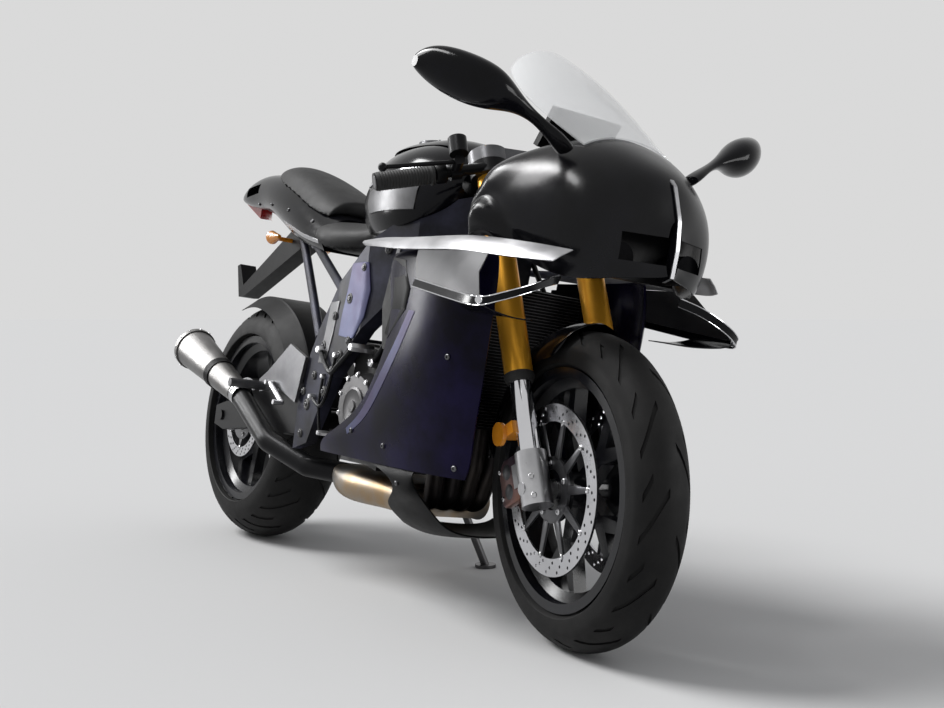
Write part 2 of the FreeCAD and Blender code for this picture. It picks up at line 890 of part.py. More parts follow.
def build_front_guard():
    inner = d.front_radius + d.mudguard_gap
    outer = inner + d.mudguard_wall
    half = d.mudguard_half
    side_drop_share = 0.18
    crown_share = 0.55
    low = inner - inner * side_drop_share
    crown_half = half * crown_share
    body = new_body("mudguard_arch")
    outline = [
        (low, -half - d.mudguard_wall),
        (inner - d.mudguard_gap, -half),
        (outer, -crown_half),
        (outer, crown_half),
        (inner - d.mudguard_gap, half),
        (low, half + d.mudguard_wall),
        (low, half),
        (inner - d.mudguard_gap - d.mudguard_wall, half - d.mudguard_wall),
        (inner, crown_half),
        (inner, -crown_half),
        (inner - d.mudguard_gap - d.mudguard_wall, -half + d.mudguard_wall),
        (low, -half),
    ]
    sketch = draw(body, "mudguard_section", "XY_Plane", outline)
    turn = body.newObject("PartDesign::Revolution", "mudguard_turn")
    turn.Profile = sketch
    turn.ReferenceAxis = (sketch, ["V_Axis"])
    bind(turn, "Angle", d.mudguard_span)
    body.Placement = Placement(Vector(fork_offset.value, 0, 0),
                               Rotation(Vector(0, 1, 0), -d.mudguard_start.value - d.mudguard_span.value))
    return body


def build_guard_parts():
    guard = build_front_guard()
    arms = []
    low = d.fork_shoe_high
    high_share = 0.9
    arm_tall = d.front_radius * high_share - low
    arm_half = d.fork_slider_radius * high_share
    for side, word in ((-1, "right"), (1, "left")):
        inner = d.disc_offset + d.disc_thick
        start = inner if side > 0 else -inner - d.mudguard_arm
        arms.append(block("guard_arm_" + word, (arm_half * 2, d.mudguard_arm, arm_tall),
                          (fork_offset - arm_half, start, low)))
    guard_whole = join("guard_whole", [guard] + arms)
    sub_part("front_mudguard", "steering", [
        cut("guard_cut", guard_whole, join("guard_neighbours", [
            doc.getObject("fork_shoe_set"), doc.getObject("outer_tube_right"),
            doc.getObject("outer_tube_left")]))])
    calipers = []
    for side, word in ((-1, "right"), (1, "left")):
        centre_y = d.disc_offset * side
        case = doc.addObject("Part::Box", "caliper_case_" + word)
        bind(case, "Length", d.caliper_depth)
        bind(case, "Width", d.caliper_half_wide * 2)
        bind(case, "Height", d.caliper_length)
        seat(case, (fork_offset - d.caliper_back - d.caliper_depth / 2,
                    centre_y - d.caliper_half_wide, d.caliper_rise - d.caliper_length / 2))
        slot = bar("caliper_slot_" + word, d.disc_radius + d.caliper_slot_half,
                   d.caliper_slot_half * 2,
                   (fork_offset, centre_y - d.caliper_slot_half, 0), "y")
        calipers.append(cut("caliper_" + word, case, slot))
    sub_part("front_calipers", "steering", calipers)
    lenses = []
    outer = d.leg_spread + d.fork_shoe_radius
    for side, word in ((-1, "right"), (1, "left")):
        start = outer + d.fit_gap if side > 0 else -outer - d.fit_gap - d.reflector_thick
        lens = bar("reflector_" + word, d.reflector_radius, d.reflector_thick,
                   (fork_offset - d.reflector_back, start, d.reflector_rise), "y")
        tab_start = d.leg_spread if side > 0 else -outer - d.fit_gap
        tab = block("reflector_tab_" + word,
                    (d.reflector_back, d.fork_shoe_radius + d.fit_gap, d.reflector_radius),
                    (fork_offset - d.reflector_back, tab_start,
                     d.reflector_rise - d.reflector_radius / 2))
        lenses.append(cut("reflector_cut_" + word, join("reflector_whole_" + word, [lens, tab]),
                          join("reflector_neighbours_" + word, [
                              doc.getObject("fork_shoe_set"),
                              doc.getObject("slider_" + word)])))
    sub_part("side_reflectors", "steering", lenses)


# Frame and chassis
spar_shares = [
    (10.9, 0.02, 0.45, 7.95, 8.82),
    (10.4, 0.35, 0.85, 7.6, 8.69),
    (9.4, 1.1, 1.5, 6.9, 8.45),
    (8.0, 1.5, 1.88, 5.7, 7.7),
    (6.8, 1.52, 1.88, 4.6, 6.8),
    (5.9, 1.56, 1.82, 3.0, 5.7),
    (5.1, 1.56, 1.76, 2.8, 4.4),
]


brace_shares = (5.6, 5.1)
brace_size_shares = (0.6, 3.3, 0.5)
mount_boss_shares = [
    ("front_mount", d.cylinder_width, 8.85, 6.65, 1.4),
    ("upper_mount", d.gearbox_width, 6.45, 5.15, 1.65),
    ("lower_mount", d.gearbox_width, 6.35, 4.45, 1.65),
]


def build_frame():
    stations = []
    for x_share, inner, outer, low, high in reversed(spar_shares):
        stations.append((along * x_share, [
            (across * inner, up * low), (across * outer, up * low),
            (across * outer, up * high), (across * inner, up * high)]))
    left = lofted("spar_left", "YZ_Plane", stations)
    right = mirrored("spar_right", left)
    head = doc.addObject("Part::Cylinder", "head_tube")
    low = d.low_clamp_height + d.clamp_thick + d.fit_gap
    bind(head, "Radius", d.head_tube_radius)
    bind(head, "Height", d.top_clamp_height - low - d.fit_gap)
    stem_hole = doc.addObject("Part::Cylinder", "head_bore")
    bind(stem_hole, "Radius", d.head_stem_radius + d.fit_gap)
    bind(stem_hole, "Height", d.top_clamp_height)
    axis_place = steering_place()
    head.Placement = axis_place * Placement(Vector(0, 0, low.value), Rotation())
    stem_hole.Placement = axis_place * Placement(Vector(0, 0, low.value - d.overrun.value),
                                                 Rotation())
    long_share, wide_share, tall_share = brace_size_shares
    x_share, z_share = brace_shares
    brace = block("spar_brace", (along * long_share, across * wide_share, up * tall_share),
                  (along * x_share, across * (-wide_share / 2), up * z_share))
    bosses = []
    for name, width, x_share, z_share, end_share in mount_boss_shares:
        half = width / 2
        length = across * end_share - half
        for side, word in ((-1, "right"), (1, "left")):
            start = half if side > 0 else -half - length
            bosses.append(bar("%s_%s" % (name, word), d.mount_radius, length,
                              (along * x_share, start, up * z_share), "y"))
    whole = join("frame_whole", [left, right, head, brace] + bosses)
    return cut("frame_cut", whole, stem_hole)


def steering_place():
    """Place of the unturned steering frame on the upright machine."""
    forward = Vector(math.cos(rake_angle), 0, math.sin(rake_angle))
    axle = Vector(d.wheelbase.value, 0, d.front_radius.value)
    return Placement(axle - forward * fork_offset.value,
                     Rotation(Vector(0, 1, 0), -d.rake.value))


gearbox_shares = [(6.15, 2.9), (7.8, 2.6), (7.8, 5.4), (6.6, 5.5), (6.15, 4.6)]
crankcase_shares = [
    (7.0, 2.75), (9.0, 2.75), (9.55, 3.4), (9.6, 4.6), (9.2, 5.2), (7.2, 5.4)]
cylinder_shares = [(7.6, 5.0), (9.3, 4.6), (10.0, 6.2), (9.1, 7.0), (8.3, 6.9)]


front_sprocket_shares = (6.4, 3.5)
cover_place_shares = [
    ("clutch_cover", 7.95, 4.0, -1, d.clutch_cover_radius),
    ("pump_cover", 9.05, 3.7, -1, d.pump_cover_radius),
    ("generator_cover", 8.6, 4.0, 1, d.generator_cover_radius),
]


def build_engine():
    gearbox = plate("gearbox", on_grid(gearbox_shares), d.gearbox_width, 0)
    crankcase = plate("crankcase", on_grid(crankcase_shares), d.crankcase_width, 0)
    cylinders = plate("cylinders", on_grid(cylinder_shares), d.cylinder_width, 0)
    x_share, z_share = front_sprocket_shares
    half_thick = d.sprocket_thick / 2
    shaft_start = d.gearbox_width / 2
    shaft = bar("output_shaft", d.rear_axle_radius, d.chain_offset - shaft_start + half_thick * 3,
                (along * x_share, shaft_start, up * z_share), "y")
    teeth = bar("front_sprocket", d.chain_front_radius - d.roller_radius - d.fit_gap,
                d.sprocket_thick,
                (along * x_share, d.chain_offset - half_thick, up * z_share), "y")
    engine = join("engine_whole", [gearbox, crankcase, cylinders, shaft, teeth])
    sub_part("engine_block", "root", [engine])
    half = d.crankcase_width / 2
    covers = []
    for name, x_share, z_share, side, radius in cover_place_shares:
        start = half if side > 0 else -half - d.cover_proud
        low_radius = radius if side > 0 else radius - d.cover_edge
        high_radius = radius - d.cover_edge if side > 0 else radius
        covers.append(cone(name, low_radius, high_radius, d.cover_proud,
                           (along * x_share, start, up * z_share), "y"))
    sub_part("engine_covers", "root", covers)


radiator_shares = [(10.3, 3.9), (10.62, 3.85), (11.22, 6.85), (10.9, 6.9)]
radiator_hanger_shares = ((10.95, 0.9, 6.8), (10.1, 1.0, 7.7))
radiator_stay_shares = ((10.5, 1.3, 4.2), (9.4, 1.3, 4.2))


def side_run(name, radius, ends, side):
    """A round stay between two places of the body grid, on one side of the machine."""
    start, end = [grid(x_share, side * y_share, z_share) for x_share, y_share, z_share in ends]
    return rod_between(name, radius, start, end)


def build_radiator():
    core = plate("radiator_core", on_grid(radiator_shares), d.radiator_width, 0)
    stays = []
    for side, word in ((-1, "right"), (1, "left")):
        stays.append(side_run("radiator_hanger_" + word, d.lever_rod_radius,
                              radiator_hanger_shares, side))
        stays.append(side_run("radiator_stay_" + word, d.lever_rod_radius,
                              radiator_stay_shares, side))
    whole = join("radiator_whole", [core] + stays)
    sub_part("radiator", "root", [cut("radiator_cut", whole, join("radiator_neighbours", [
        doc.getObject("frame_cut"), doc.getObject("engine_whole")]))])


arm_pivot_x_share = 5.6
arm_pivot_z_share = 3.55
swingarm_shares = [
    (5.95, -0.27), (5.95, 0.28), (5.5, 0.75), (4.6, 1.25), (3.0, 1.13), (1.3, 0.42),
    (0.2, 0.38), (-0.45, 0.26), (-0.45, -0.24), (0.2, -0.39), (2.0, -0.28), (4.0, -0.37),
    (5.4, -0.34)]


def arm_line(x_share):
    """Height of the line from the rear axle to the swingarm's pivot."""
    climb = up * arm_pivot_z_share - d.rear_radius
    return d.rear_radius + climb * (x_share / arm_pivot_x_share)


def build_swingarm():
    outline = [(along * x_share, arm_line(x_share) + up * rise_share)
               for x_share, rise_share in swingarm_shares]
    middle = d.arm_inner + d.arm_thick / 2
    left = plate("arm_left", outline, d.arm_thick, middle)
    right = plate("arm_right", outline, d.arm_thick, -middle)
    reach_in = d.arm_inner + d.overrun / 2
    beam_x_share = 3.55
    beam_length_share = 1.0
    beam_tall_share = 0.78
    beam = block("arm_beam", (along * beam_length_share, reach_in * 2, up * beam_tall_share),
                 (along * beam_x_share, -reach_in,
                  arm_line(beam_x_share) - up * (beam_tall_share / 2)))
    pivot = bar("arm_pivot", d.pivot_radius, reach_in * 2,
                (along * arm_pivot_x_share, -reach_in, up * arm_pivot_z_share), "y")
    reach = d.arm_inner + d.arm_thick
    axle = bar("rear_axle", d.rear_axle_radius, reach * 2 + d.overrun * 2,
               (0, -reach - d.overrun, d.rear_radius), "y")
    hub_right = d.rear_disc_offset - d.disc_thick / 2 + d.fit_gap
    hub_left = d.chain_offset - d.sprocket_thick / 2 + d.fit_gap
    right_collar = bar("collar_right", d.disc_eye_radius / 2 + d.fit_gap, reach - hub_right,
                       (0, -reach, d.rear_radius), "y")
    left_collar = bar("collar_left", d.disc_eye_radius / 2 + d.fit_gap, reach - hub_left,
                      (0, hub_left, d.rear_radius), "y")
    sub_part("swingarm", "root", [
        join("swingarm_whole", [left, right, beam, pivot, axle, right_collar, left_collar])])


def chain_path(offset):
    """Outline of the chain loop at a distance outside its pitch line."""
    rear = Vector(0, 0, d.rear_radius.value)
    front = grid(front_sprocket_shares[0], 0, front_sprocket_shares[1])
    big = d.chain_rear_radius.value
    small = d.chain_front_radius.value
    gap = front - rear
    slope = math.atan2(gap.z, gap.x)
    lean_in = math.asin((big - small) / gap.Length)
    edges = []
    upper = slope + math.pi / 2 - lean_in
    lower = slope - math.pi / 2 + lean_in
    big += offset
    small += offset

    def spot(centre, radius, angle):
        return centre + Vector(radius * math.cos(angle), 0, radius * math.sin(angle))

    edges.append(Part.makeLine(spot(rear, big, upper), spot(front, small, upper)))
    edges.append(Part.Arc(spot(front, small, upper), spot(front, small, slope),
                          spot(front, small, lower)).toShape())
    edges.append(Part.makeLine(spot(front, small, lower), spot(rear, big, lower)))
    edges.append(Part.Arc(spot(rear, big, lower), spot(rear, big, slope + math.pi),
                          spot(rear, big, upper)).toShape())
    return Part.Wire(edges)


def build_chain():
    half = d.chain_half_tall.value
    outer = Part.Face(chain_path(half))
    inner = Part.Face(chain_path(-d.roller_radius.value))
    wide = d.chain_half_wide.value
    band = outer.cut(inner).extrude(Vector(0, wide * 2, 0))
    band.translate(Vector(0, d.chain_offset.value - wide, 0))
    sub_part("drive_chain", "root", [free_shape("chain_loop", band)])


shock_low_x_share = 4.3
shock_rise_share = 0.2
shock_top_shares = (5.75, 0, 5.3)
spring_low_share = 0.22
spring_run_share = 0.58
spring_turns = 7
turn_foot_share = 1.1
turn_crest_share = 0.45


def build_rear_end():
    inner = d.rear_radius + d.hugger_gap
    outer = inner + d.panel_wall
    half = d.hugger_half
    low_share = 0.9
    shoulder_share = 0.6
    low = inner * low_share
    body = new_body("hugger_arch")
    shoulder = half * shoulder_share
    sketch = draw(body, "hugger_section", "XY_Plane", [
        (low, -half - d.panel_wall * 3), (inner, -shoulder - d.panel_wall), (outer, -shoulder),
        (outer, shoulder), (inner, shoulder + d.panel_wall), (low, half + d.panel_wall * 3),
        (low, half + d.panel_wall * 2), (inner - d.panel_wall, shoulder),
        (inner - d.panel_wall, -shoulder), (low, -half - d.panel_wall * 2)])
    turn = body.newObject("PartDesign::Revolution", "hugger_turn")
    turn.Profile = sketch
    turn.ReferenceAxis = (sketch, ["V_Axis"])
    bind(turn, "Angle", d.hugger_span)
    body.Placement = Placement(Vector(0, 0, d.rear_radius.value),
                               Rotation(Vector(0, 1, 0), -d.hugger_start.value - d.hugger_span.value))
    lug_inner = d.hugger_half - d.panel_wall
    lug_share = 0.926
    lug_turn_share = 2.7
    lug_angle = d.hugger_start * lug_turn_share
    lug_x = inner * lug_share * cosine(lug_angle)
    lug_z = d.rear_radius + inner * lug_share * sine(lug_angle)
    lugs = []
    for side, word in ((-1, "right"), (1, "left")):
        start = lug_inner if side > 0 else -d.arm_inner
        lugs.append(bar("hugger_lug_" + word, d.lever_rod_radius, d.arm_inner - lug_inner,
                        (lug_x, start, lug_z), "y"))
    sub_part("rear_hugger", "root", [join("hugger_whole", [body] + lugs)])
    shock_low = Vector(*[float(part) for part in (
        along * shock_low_x_share, 0, arm_line(shock_low_x_share) + up * shock_rise_share)])
    shock_top = grid(*shock_top_shares)
    way = shock_top - shock_low
    length = as_size(way.Length)
    seat_half = d.spring_seat_half
    slim = d.shock_body_radius
    full = d.shock_spring_radius
    outline = [(0, 0), (slim, 0)]
    marks = [(spring_low_share, seat_half, seat_half)]
    for number in range(spring_turns):
        share = spring_low_share + spring_run_share * (number + 1) / (spring_turns + 1)
        marks.append((share, seat_half * turn_foot_share, seat_half * turn_crest_share))
    marks.append((spring_low_share + spring_run_share, seat_half, seat_half))
    for share, foot, crest in marks:
        middle = length * share
        outline += [(slim, middle - foot), (full, middle - crest), (full, middle + crest),
                    (slim, middle + foot)]
    outline += [(slim, length), (0, length)]
    shock = turned("shock_whole", outline)
    shock.Placement = Placement(shock_low, Rotation(Vector(0, 1, 0), way))
    neighbours = join("shock_neighbours", [doc.getObject("swingarm_whole"),
                                           doc.getObject("frame_cut")])
    sub_part("rear_shock", "root", [cut("shock_cut", shock, neighbours)])
    case_inner = d.rear_disc_offset - d.caliper_half_wide
    case_near_share = 0.68
    case_rise_share = 0.13
    case = block("rear_caliper_case",
                 (d.rear_caliper_length, d.arm_inner - case_inner, d.rear_caliper_tall),
                 (d.rear_disc_radius * case_near_share, -d.arm_inner,
                  d.rear_radius + d.rear_disc_radius * case_rise_share))
    slot = bar("rear_caliper_slot", d.rear_disc_radius + d.caliper_slot_half,
               d.caliper_slot_half * 2,
               (0, -d.rear_disc_offset - d.caliper_slot_half, d.rear_radius), "y")
    sub_part("rear_caliper", "root", [cut("rear_caliper_cut", case, slot)])


# Exhaust
port_shares = (-0.78, -0.26, 0.26, 0.78)
header_shares = [(9.5, 1.0, 5.8), (10.08, 1.0, 5.45), (9.95, 0.9, 3.0), (9.75, 0.75, 2.2),
                 (9.3, 0.75, 2.2)]
header_bend_share = 1.2
chamber_shares = [
    (9.3, [(0, 2.5), (0.8, 2.5), (1.18, 2.35), (1.18, 1.95), (0.8, 1.82)]),
    (7.8, [(0, 2.55), (0.8, 2.55), (1.2, 2.4), (1.2, 2.0), (0.8, 1.85)]),
    (6.4, [(0, 2.6), (0.75, 2.6), (1.15, 2.45), (1.15, 2.05), (0.75, 1.9)]),
    (5.8, [(0, 2.6), (0.5, 2.6), (0.95, 2.5), (0.95, 2.2), (0.5, 2.05)]),
]
link_pipe_shares = [(6.2, -0.6, 2.35), (5.1, -1.3, 2.4), (3.9, -1.86, 2.85), (1.9, -1.95, 3.95)]
link_bend_share = 1.5
muffler_end_shares = (-1.15, -2.12, 5.0)


def build_exhaust():
    headers = []
    for number, port_share in enumerate(port_shares):
        points = [grid(x_share, port_share * spread_share, z_share)
                  for x_share, spread_share, z_share in header_shares]
        header = pipe("header_%d" % number, points, d.header_radius.value,
                      d.header_radius.value * header_bend_share)
        headers.append(cut("header_cut_%d" % number, header, doc.getObject("engine_whole")))
    sub_part("exhaust_headers", "root", headers)
    chamber = closed_form("chamber_form", chamber_shares)
    sub_part("exhaust_chamber", "root", [chamber])
    pipe_points = [grid(*place) for place in link_pipe_shares]
    link = pipe("link_pipe", pipe_points, d.link_pipe_radius.value,
                d.link_pipe_radius.value * link_bend_share)
    sub_part("exhaust_pipe", "root", [cut("link_pipe_cut", link, chamber)])
    start = pipe_points[-1]
    end = grid(*muffler_end_shares)
    way = (end - start).normalize()
    length = (end - start).Length
    can = doc.addObject("Part::Cone", "muffler_can")
    bind(can, "Radius1", d.muffler_small_radius)
    bind(can, "Radius2", d.muffler_large_radius)
    can.Height = length
    can.Placement = Placement(start, Rotation(Vector(0, 0, 1), way))
    mouth = doc.addObject("Part::Cylinder", "muffler_mouth")
    bind(mouth, "Radius", d.muffler_bore)
    bind(mouth, "Height", d.muffler_bore_deep + d.overrun)
    mouth.Placement = Placement(end - way * d.muffler_bore_deep.value,
                                Rotation(Vector(0, 0, 1), way))
    band = doc.addObject("Part::Cylinder", "muffler_end_band")
    bind(band, "Radius", d.muffler_large_radius + d.muffler_band_proud)
    bind(band, "Height", d.muffler_band)
    band.Placement = Placement(end - way * d.muffler_band.value,
                               Rotation(Vector(0, 0, 1), way))
    shell = join("muffler_shell", [can, band])
    sub_part("muffler", "root", [cut("muffler_cut", cut("muffler_bored", shell, mouth), link)])


# Bodywork
tank_shares = [
    (6.0, [(0, 9.75), (0.5, 9.65), (0.9, 9.2), (1.0, 8.7), (0.8, 8.2)]),
    (6.7, [(0, 10.05), (0.8, 9.9), (1.3, 9.3), (1.45, 8.6), (1.2, 8.0)]),
    (7.8, [(0, 10.1), (1.0, 9.95), (1.65, 9.35), (1.8, 8.6), (1.6, 7.95)]),
    (9.2, [(0, 10.0), (1.0, 9.85), (1.6, 9.3), (1.75, 8.7), (1.6, 8.1)]),
    (9.85, [(0, 9.8), (0.85, 9.62), (1.3, 9.2), (1.45, 8.8), (1.3, 8.4)]),
    (10.2, [(0, 9.5), (0.6, 9.4), (0.95, 9.15), (1.05, 8.95), (0.9, 8.75)]),
]
cover_shares = [
    (6.5, [(0, 10.12), (0.35, 10.1), (0.7, 9.95)]),
    (7.2, [(0, 10.22), (0.5, 10.2), (0.95, 10.0)]),
    (8.4, [(0, 10.22), (0.55, 10.18), (1.0, 9.98)]),
    (9.4, [(0, 10.08), (0.5, 10.05), (0.95, 9.85)]),
    (10.0, [(0, 9.78), (0.4, 9.75), (0.75, 9.6)]),
]
seat_shares = [
    (3.7, [(0, 8.75), (0.8, 8.7), (1.2, 8.3), (1.1, 8.0)]),
    (5.0, [(0, 8.42), (0.9, 8.36), (1.3, 8.05), (1.2, 7.75)]),
    (6.0, [(0, 8.5), (0.5, 8.42), (0.9, 8.1), (0.85, 7.8)]),
    (6.6, [(0, 8.6), (0.4, 8.5), (0.7, 8.2), (0.6, 7.9)]),
]
tail_shares = [
    (4.4, [(0, 8.6), (0.9, 8.5), (1.3, 8.1), (1.2, 7.7)]),
    (3.0, [(0, 9.2), (0.9, 9.05), (1.3, 8.5), (1.1, 8.0)]),
    (1.5, [(0, 9.8), (0.8, 9.65), (1.15, 9.1), (0.9, 8.45)]),
    (0.0, [(0, 10.15), (0.65, 10.05), (0.95, 9.55), (0.6, 8.95)]),
    (-1.5, [(0, 10.3), (0.5, 10.2), (0.72, 9.8), (0.4, 9.3)]),
    (-2.8, [(0, 10.1), (0.35, 10.05), (0.5, 9.8), (0.25, 9.5)]),
    (-3.49, [(0, 9.9), (0.18, 9.87), (0.25, 9.78), (0.12, 9.68)]),
]
pad_shares = [
    (4.0, [(0, 9.1), (0.7, 8.95), (1.0, 8.6)]),
    (3.0, [(0, 9.55), (0.8, 9.35), (1.1, 8.9)]),
    (1.7, [(0, 10.05), (0.75, 9.85), (1.0, 9.4)]),
    (0.5, [(0, 10.38), (0.6, 10.2), (0.85, 9.8)]),
    (-0.3, [(0, 10.4), (0.4, 10.3), (0.6, 10.0)]),
]
cap_shares = (7.6, 10.16)
tail_window_shares = (-2.5, 9.68)
tail_window_size_shares = (1.3, 4, 0.28)


def build_seat_and_tank(frame):
    tank = closed_form("tank_form", tank_shares)
    sub_part("fuel_tank", "root", [cut("tank_cut", tank, frame)])
    cover = closed_form("tank_cover_form", cover_shares)
    x_share, z_share = cap_shares
    cap_at = (along * x_share, 0, up * z_share)
    cap = bar("fuel_cap_disc", d.fuel_cap_radius, d.fuel_cap_thick, cap_at)
    cover_open = cut("tank_cover_open", cover, cap)
    sub_part("tank_cover", "root", [cut("tank_cover_cut", cover_open, tank)])
    sub_part("fuel_cap", "root", [cap])
    tail = closed_form("tail_form", tail_shares)
    x_share, z_share = tail_window_shares
    long_share, wide_share, tall_share = tail_window_size_shares
    ring_cut = block("tail_window", (along * long_share, across * wide_share, up * tall_share),
                     (along * x_share, across * (-wide_share / 2), up * z_share))
    tail_open = cut("tail_open", tail, ring_cut)
    sub_part("tail_cowl", "root", [tail_open])
    saddle = closed_form("seat_form", seat_shares)
    sub_part("rider_seat", "root", [cut("seat_cut", saddle, join("seat_neighbours",
                                                                  [tank, tail]))])
    pad = closed_form("pillion_form", pad_shares)
    sub_part("pillion_pad", "root", [cut("pillion_cut", pad, join("pillion_neighbours",
                                                                  [tail, saddle]))])


cowl_shares = [
    (15.8, [(0, 8.0), (0.08, 7.95), (0.14, 7.8), (0.16, 7.5), (0.14, 7.2), (0.08, 7.0)]),
    (15.6, [(0, 8.62), (0.35, 8.48), (0.6, 8.1), (0.68, 7.6), (0.62, 7.15), (0.5, 6.92)]),
    (15.3, [(0, 9.0), (0.62, 8.84), (1.05, 8.4), (1.28, 7.8), (1.2, 7.15), (1.0, 6.84)]),
    (14.9, [(0, 9.28), (0.75, 9.14), (1.35, 8.68), (1.62, 8.05), (1.55, 7.32), (1.3, 6.8)]),
    (14.3, [(0, 9.6), (0.9, 9.42), (1.5, 9.0), (1.85, 8.3), (1.8, 7.5), (1.6, 6.9)]),
    (13.5, [(0, 9.5), (1.0, 9.45), (1.7, 9.1), (2.1, 8.4), (2.1, 7.8), (2.0, 7.3)]),
    (12.6, [(0, 9.3), (1.1, 9.35), (1.85, 8.9), (2.25, 8.3), (2.32, 7.9), (2.3, 7.5)]),
]
intake_shares = (15.0, 0.12, 7.18)
intake_size_shares = (1.0, 0.85, 0.5)
keel_shares = [
    (15.28, 8.98), (15.62, 8.66), (15.84, 8.02), (15.87, 7.5), (15.8, 6.96), (15.62, 6.9),
    (15.72, 7.5), (15.7, 7.95), (15.52, 8.52), (15.2, 8.88)]
screen_shares = [
    (14.35, [(0, 9.622), (0.6, 9.552), (1.15, 9.322)]),
    (13.5, [(0, 10.35), (0.8, 10.2), (1.3, 9.85)]),
    (12.5, [(0, 11.15), (0.85, 10.95), (1.35, 10.5)]),
    (11.5, [(0, 11.8), (0.7, 11.6), (1.05, 11.2)]),
]
fairing_shares = [
    (7.3, [(9.7, 2.15), (10.5, 2.3), (11.6, 2.32), (12.5, 2.15), (13.0, 1.85)]),
    (6.6, [(9.8, 2.25), (10.6, 2.4), (11.7, 2.42), (12.6, 2.25), (13.1, 1.85)]),
    (5.6, [(10.0, 2.3), (10.8, 2.4), (11.7, 2.4), (12.5, 2.22), (13.05, 1.85)]),
    (4.8, [(9.6, 2.25), (10.4, 2.35), (11.4, 2.35), (12.3, 2.18), (12.95, 1.82)]),
    (4.1, [(8.9, 2.15), (9.9, 2.26), (10.9, 2.28), (12.0, 2.15), (12.85, 1.8)]),
    (3.4, [(7.5, 2.02), (8.8, 2.12), (10.1, 2.17), (11.6, 2.12), (12.75, 1.76)]),
    (2.9, [(6.75, 1.85), (8.1, 1.98), (9.6, 2.06), (11.3, 2.06), (12.6, 1.74)]),
]
belly_shares = [
    [(8.2, 0, 1.58), (8.7, 0.6, 1.6), (9.4, 1.15, 1.76), (9.7, 1.65, 2.15), (9.5, 2.02, 2.885)],
    [(9.5, 0, 1.46), (9.8, 0.6, 1.5), (10.2, 1.15, 1.74), (10.4, 1.65, 2.18), (10.3, 2.02, 2.885)],
    [(10.9, 0, 1.6), (10.92, 0.6, 1.65), (10.95, 1.13, 1.88), (11.0, 1.62, 2.3), (11.2, 2.02, 2.885)],
]
wing_upper_shares = [
    [(15.1, 1.62, 7.25), (14.95, 2.1, 6.9), (14.8, 2.45, 6.55)],
    [(14.3, 2.07, 7.35), (14.4, 2.6, 6.8), (14.45, 3.08, 6.2)],
    [(12.8, 2.32, 7.5), (12.9, 2.75, 6.95), (13.0, 3.0, 6.4)],
    [(10.75, 2.39, 7.55), (11.2, 2.65, 7.1), (11.7, 2.78, 6.6)],
    [(8.0, 2.06, 7.66), (8.4, 2.16, 7.56), (8.9, 2.24, 7.44)],
]
wing_lower_shares = [
    [(14.45, 3.1, 6.12), (14.2, 2.3, 6.0), (13.95, 1.6, 6.05)],
    [(13.4, 3.0, 6.2), (13.2, 2.5, 6.05), (13.0, 2.2, 6.05)],
    [(12.3, 2.9, 6.35), (12.3, 2.65, 6.2), (12.3, 2.35, 6.15)],
]


belly_core_share = 3.5
wing_core_share = 7.0
screen_core_share = 8.0
cowl_core_share = 7.6


def wall_rows(table_shares):
    return [[grid(*place) for place in row] for row in table_shares]


def build_bodywork(frame):
    cowl = hooded("cowl_shell", cowl_shares, d.panel_wall.value, cowl_core_share)
    x_share, y_share, z_share = intake_shares
    long_share, wide_share, tall_share = intake_size_shares
    intakes = []
    for side, word in ((-1, "right"), (1, "left")):
        start_share = y_share if side > 0 else -y_share - wide_share
        intakes.append(block("intake_" + word,
                             (along * long_share, across * wide_share, up * tall_share),
                             (along * x_share, across * start_share, up * z_share)))
    cowl_open = cut("cowl_open", cowl, join("intakes", intakes))
    keel = plate("nose_keel", on_grid(keel_shares), d.keel_thick, 0)
    sub_part("front_cowl", "root", [join("cowl_whole", [cowl_open, keel])])
    screen = hooded("screen_shell", screen_shares, d.panel_wall.value, screen_core_share)
    sub_part("windscreen", "root", [cut("screen_cut", screen, cowl)])
    left = panel("fairing_left", side_rows(fairing_shares), d.panel_wall.value)
    sub_part("side_fairing_left", "root", [left])
    right = free_shape("fairing_right", left.Shape.mirror(Vector(), Vector(0, 1, 0)))
    sub_part("side_fairing_right", "root", [right])
    belly = panel("belly_shell", [both_sides(row) for row in wall_rows(belly_shares)],
                  d.panel_wall.value, up.value * belly_core_share)
    sub_part("belly_pan", "root", [belly])
    upper = panel("wing_upper", wall_rows(wing_upper_shares), d.panel_wall.value)
    lower = panel("wing_lower", wall_rows(wing_lower_shares), d.panel_wall.value,
                  up.value * wing_core_share)
    wings = join("wing_left", [upper, lower])
    sub_part("side_wings", "root", [wings, mirrored("wing_right", wings)])
    return cowl, {-1: right, 1: left}


mirror_shares = [
    (-4.2, 13.15, 10.3, 0.10, 0.10),
    (-4.0, 13.3, 10.3, 0.35, 0.28),
    (-3.5, 13.7, 10.1, 0.50, 0.42),
    (-3.0, 13.95, 9.95, 0.45, 0.36),
    (-2.5, 14.1, 9.75, 0.22, 0.16),
    (-1.9, 14.25, 9.4, 0.20, 0.10),
    (-1.55, 14.3, 9.15, 0.26, 0.10),
]
mirror_ring_points = 8


def build_mirrors():
    wires = []
    for y_share, x_share, z_share, deep_share, tall_share in mirror_shares:
        centre = grid(x_share, y_share, z_share)
        points = []
        for step in range(mirror_ring_points):
            angle = math.pi * 2 * step / mirror_ring_points
            points.append(centre + Vector(along.value * deep_share * math.cos(angle), 0,
                                          up.value * tall_share * math.sin(angle)))
        curve = Part.BSplineCurve()
        curve.interpolate(points, True)
        wires.append(Part.Wire([curve.toShape()]))
    right = free_shape("mirror_right_form", Part.makeLoft(wires, True, False))
    return right, mirrored("mirror_left_form", right)


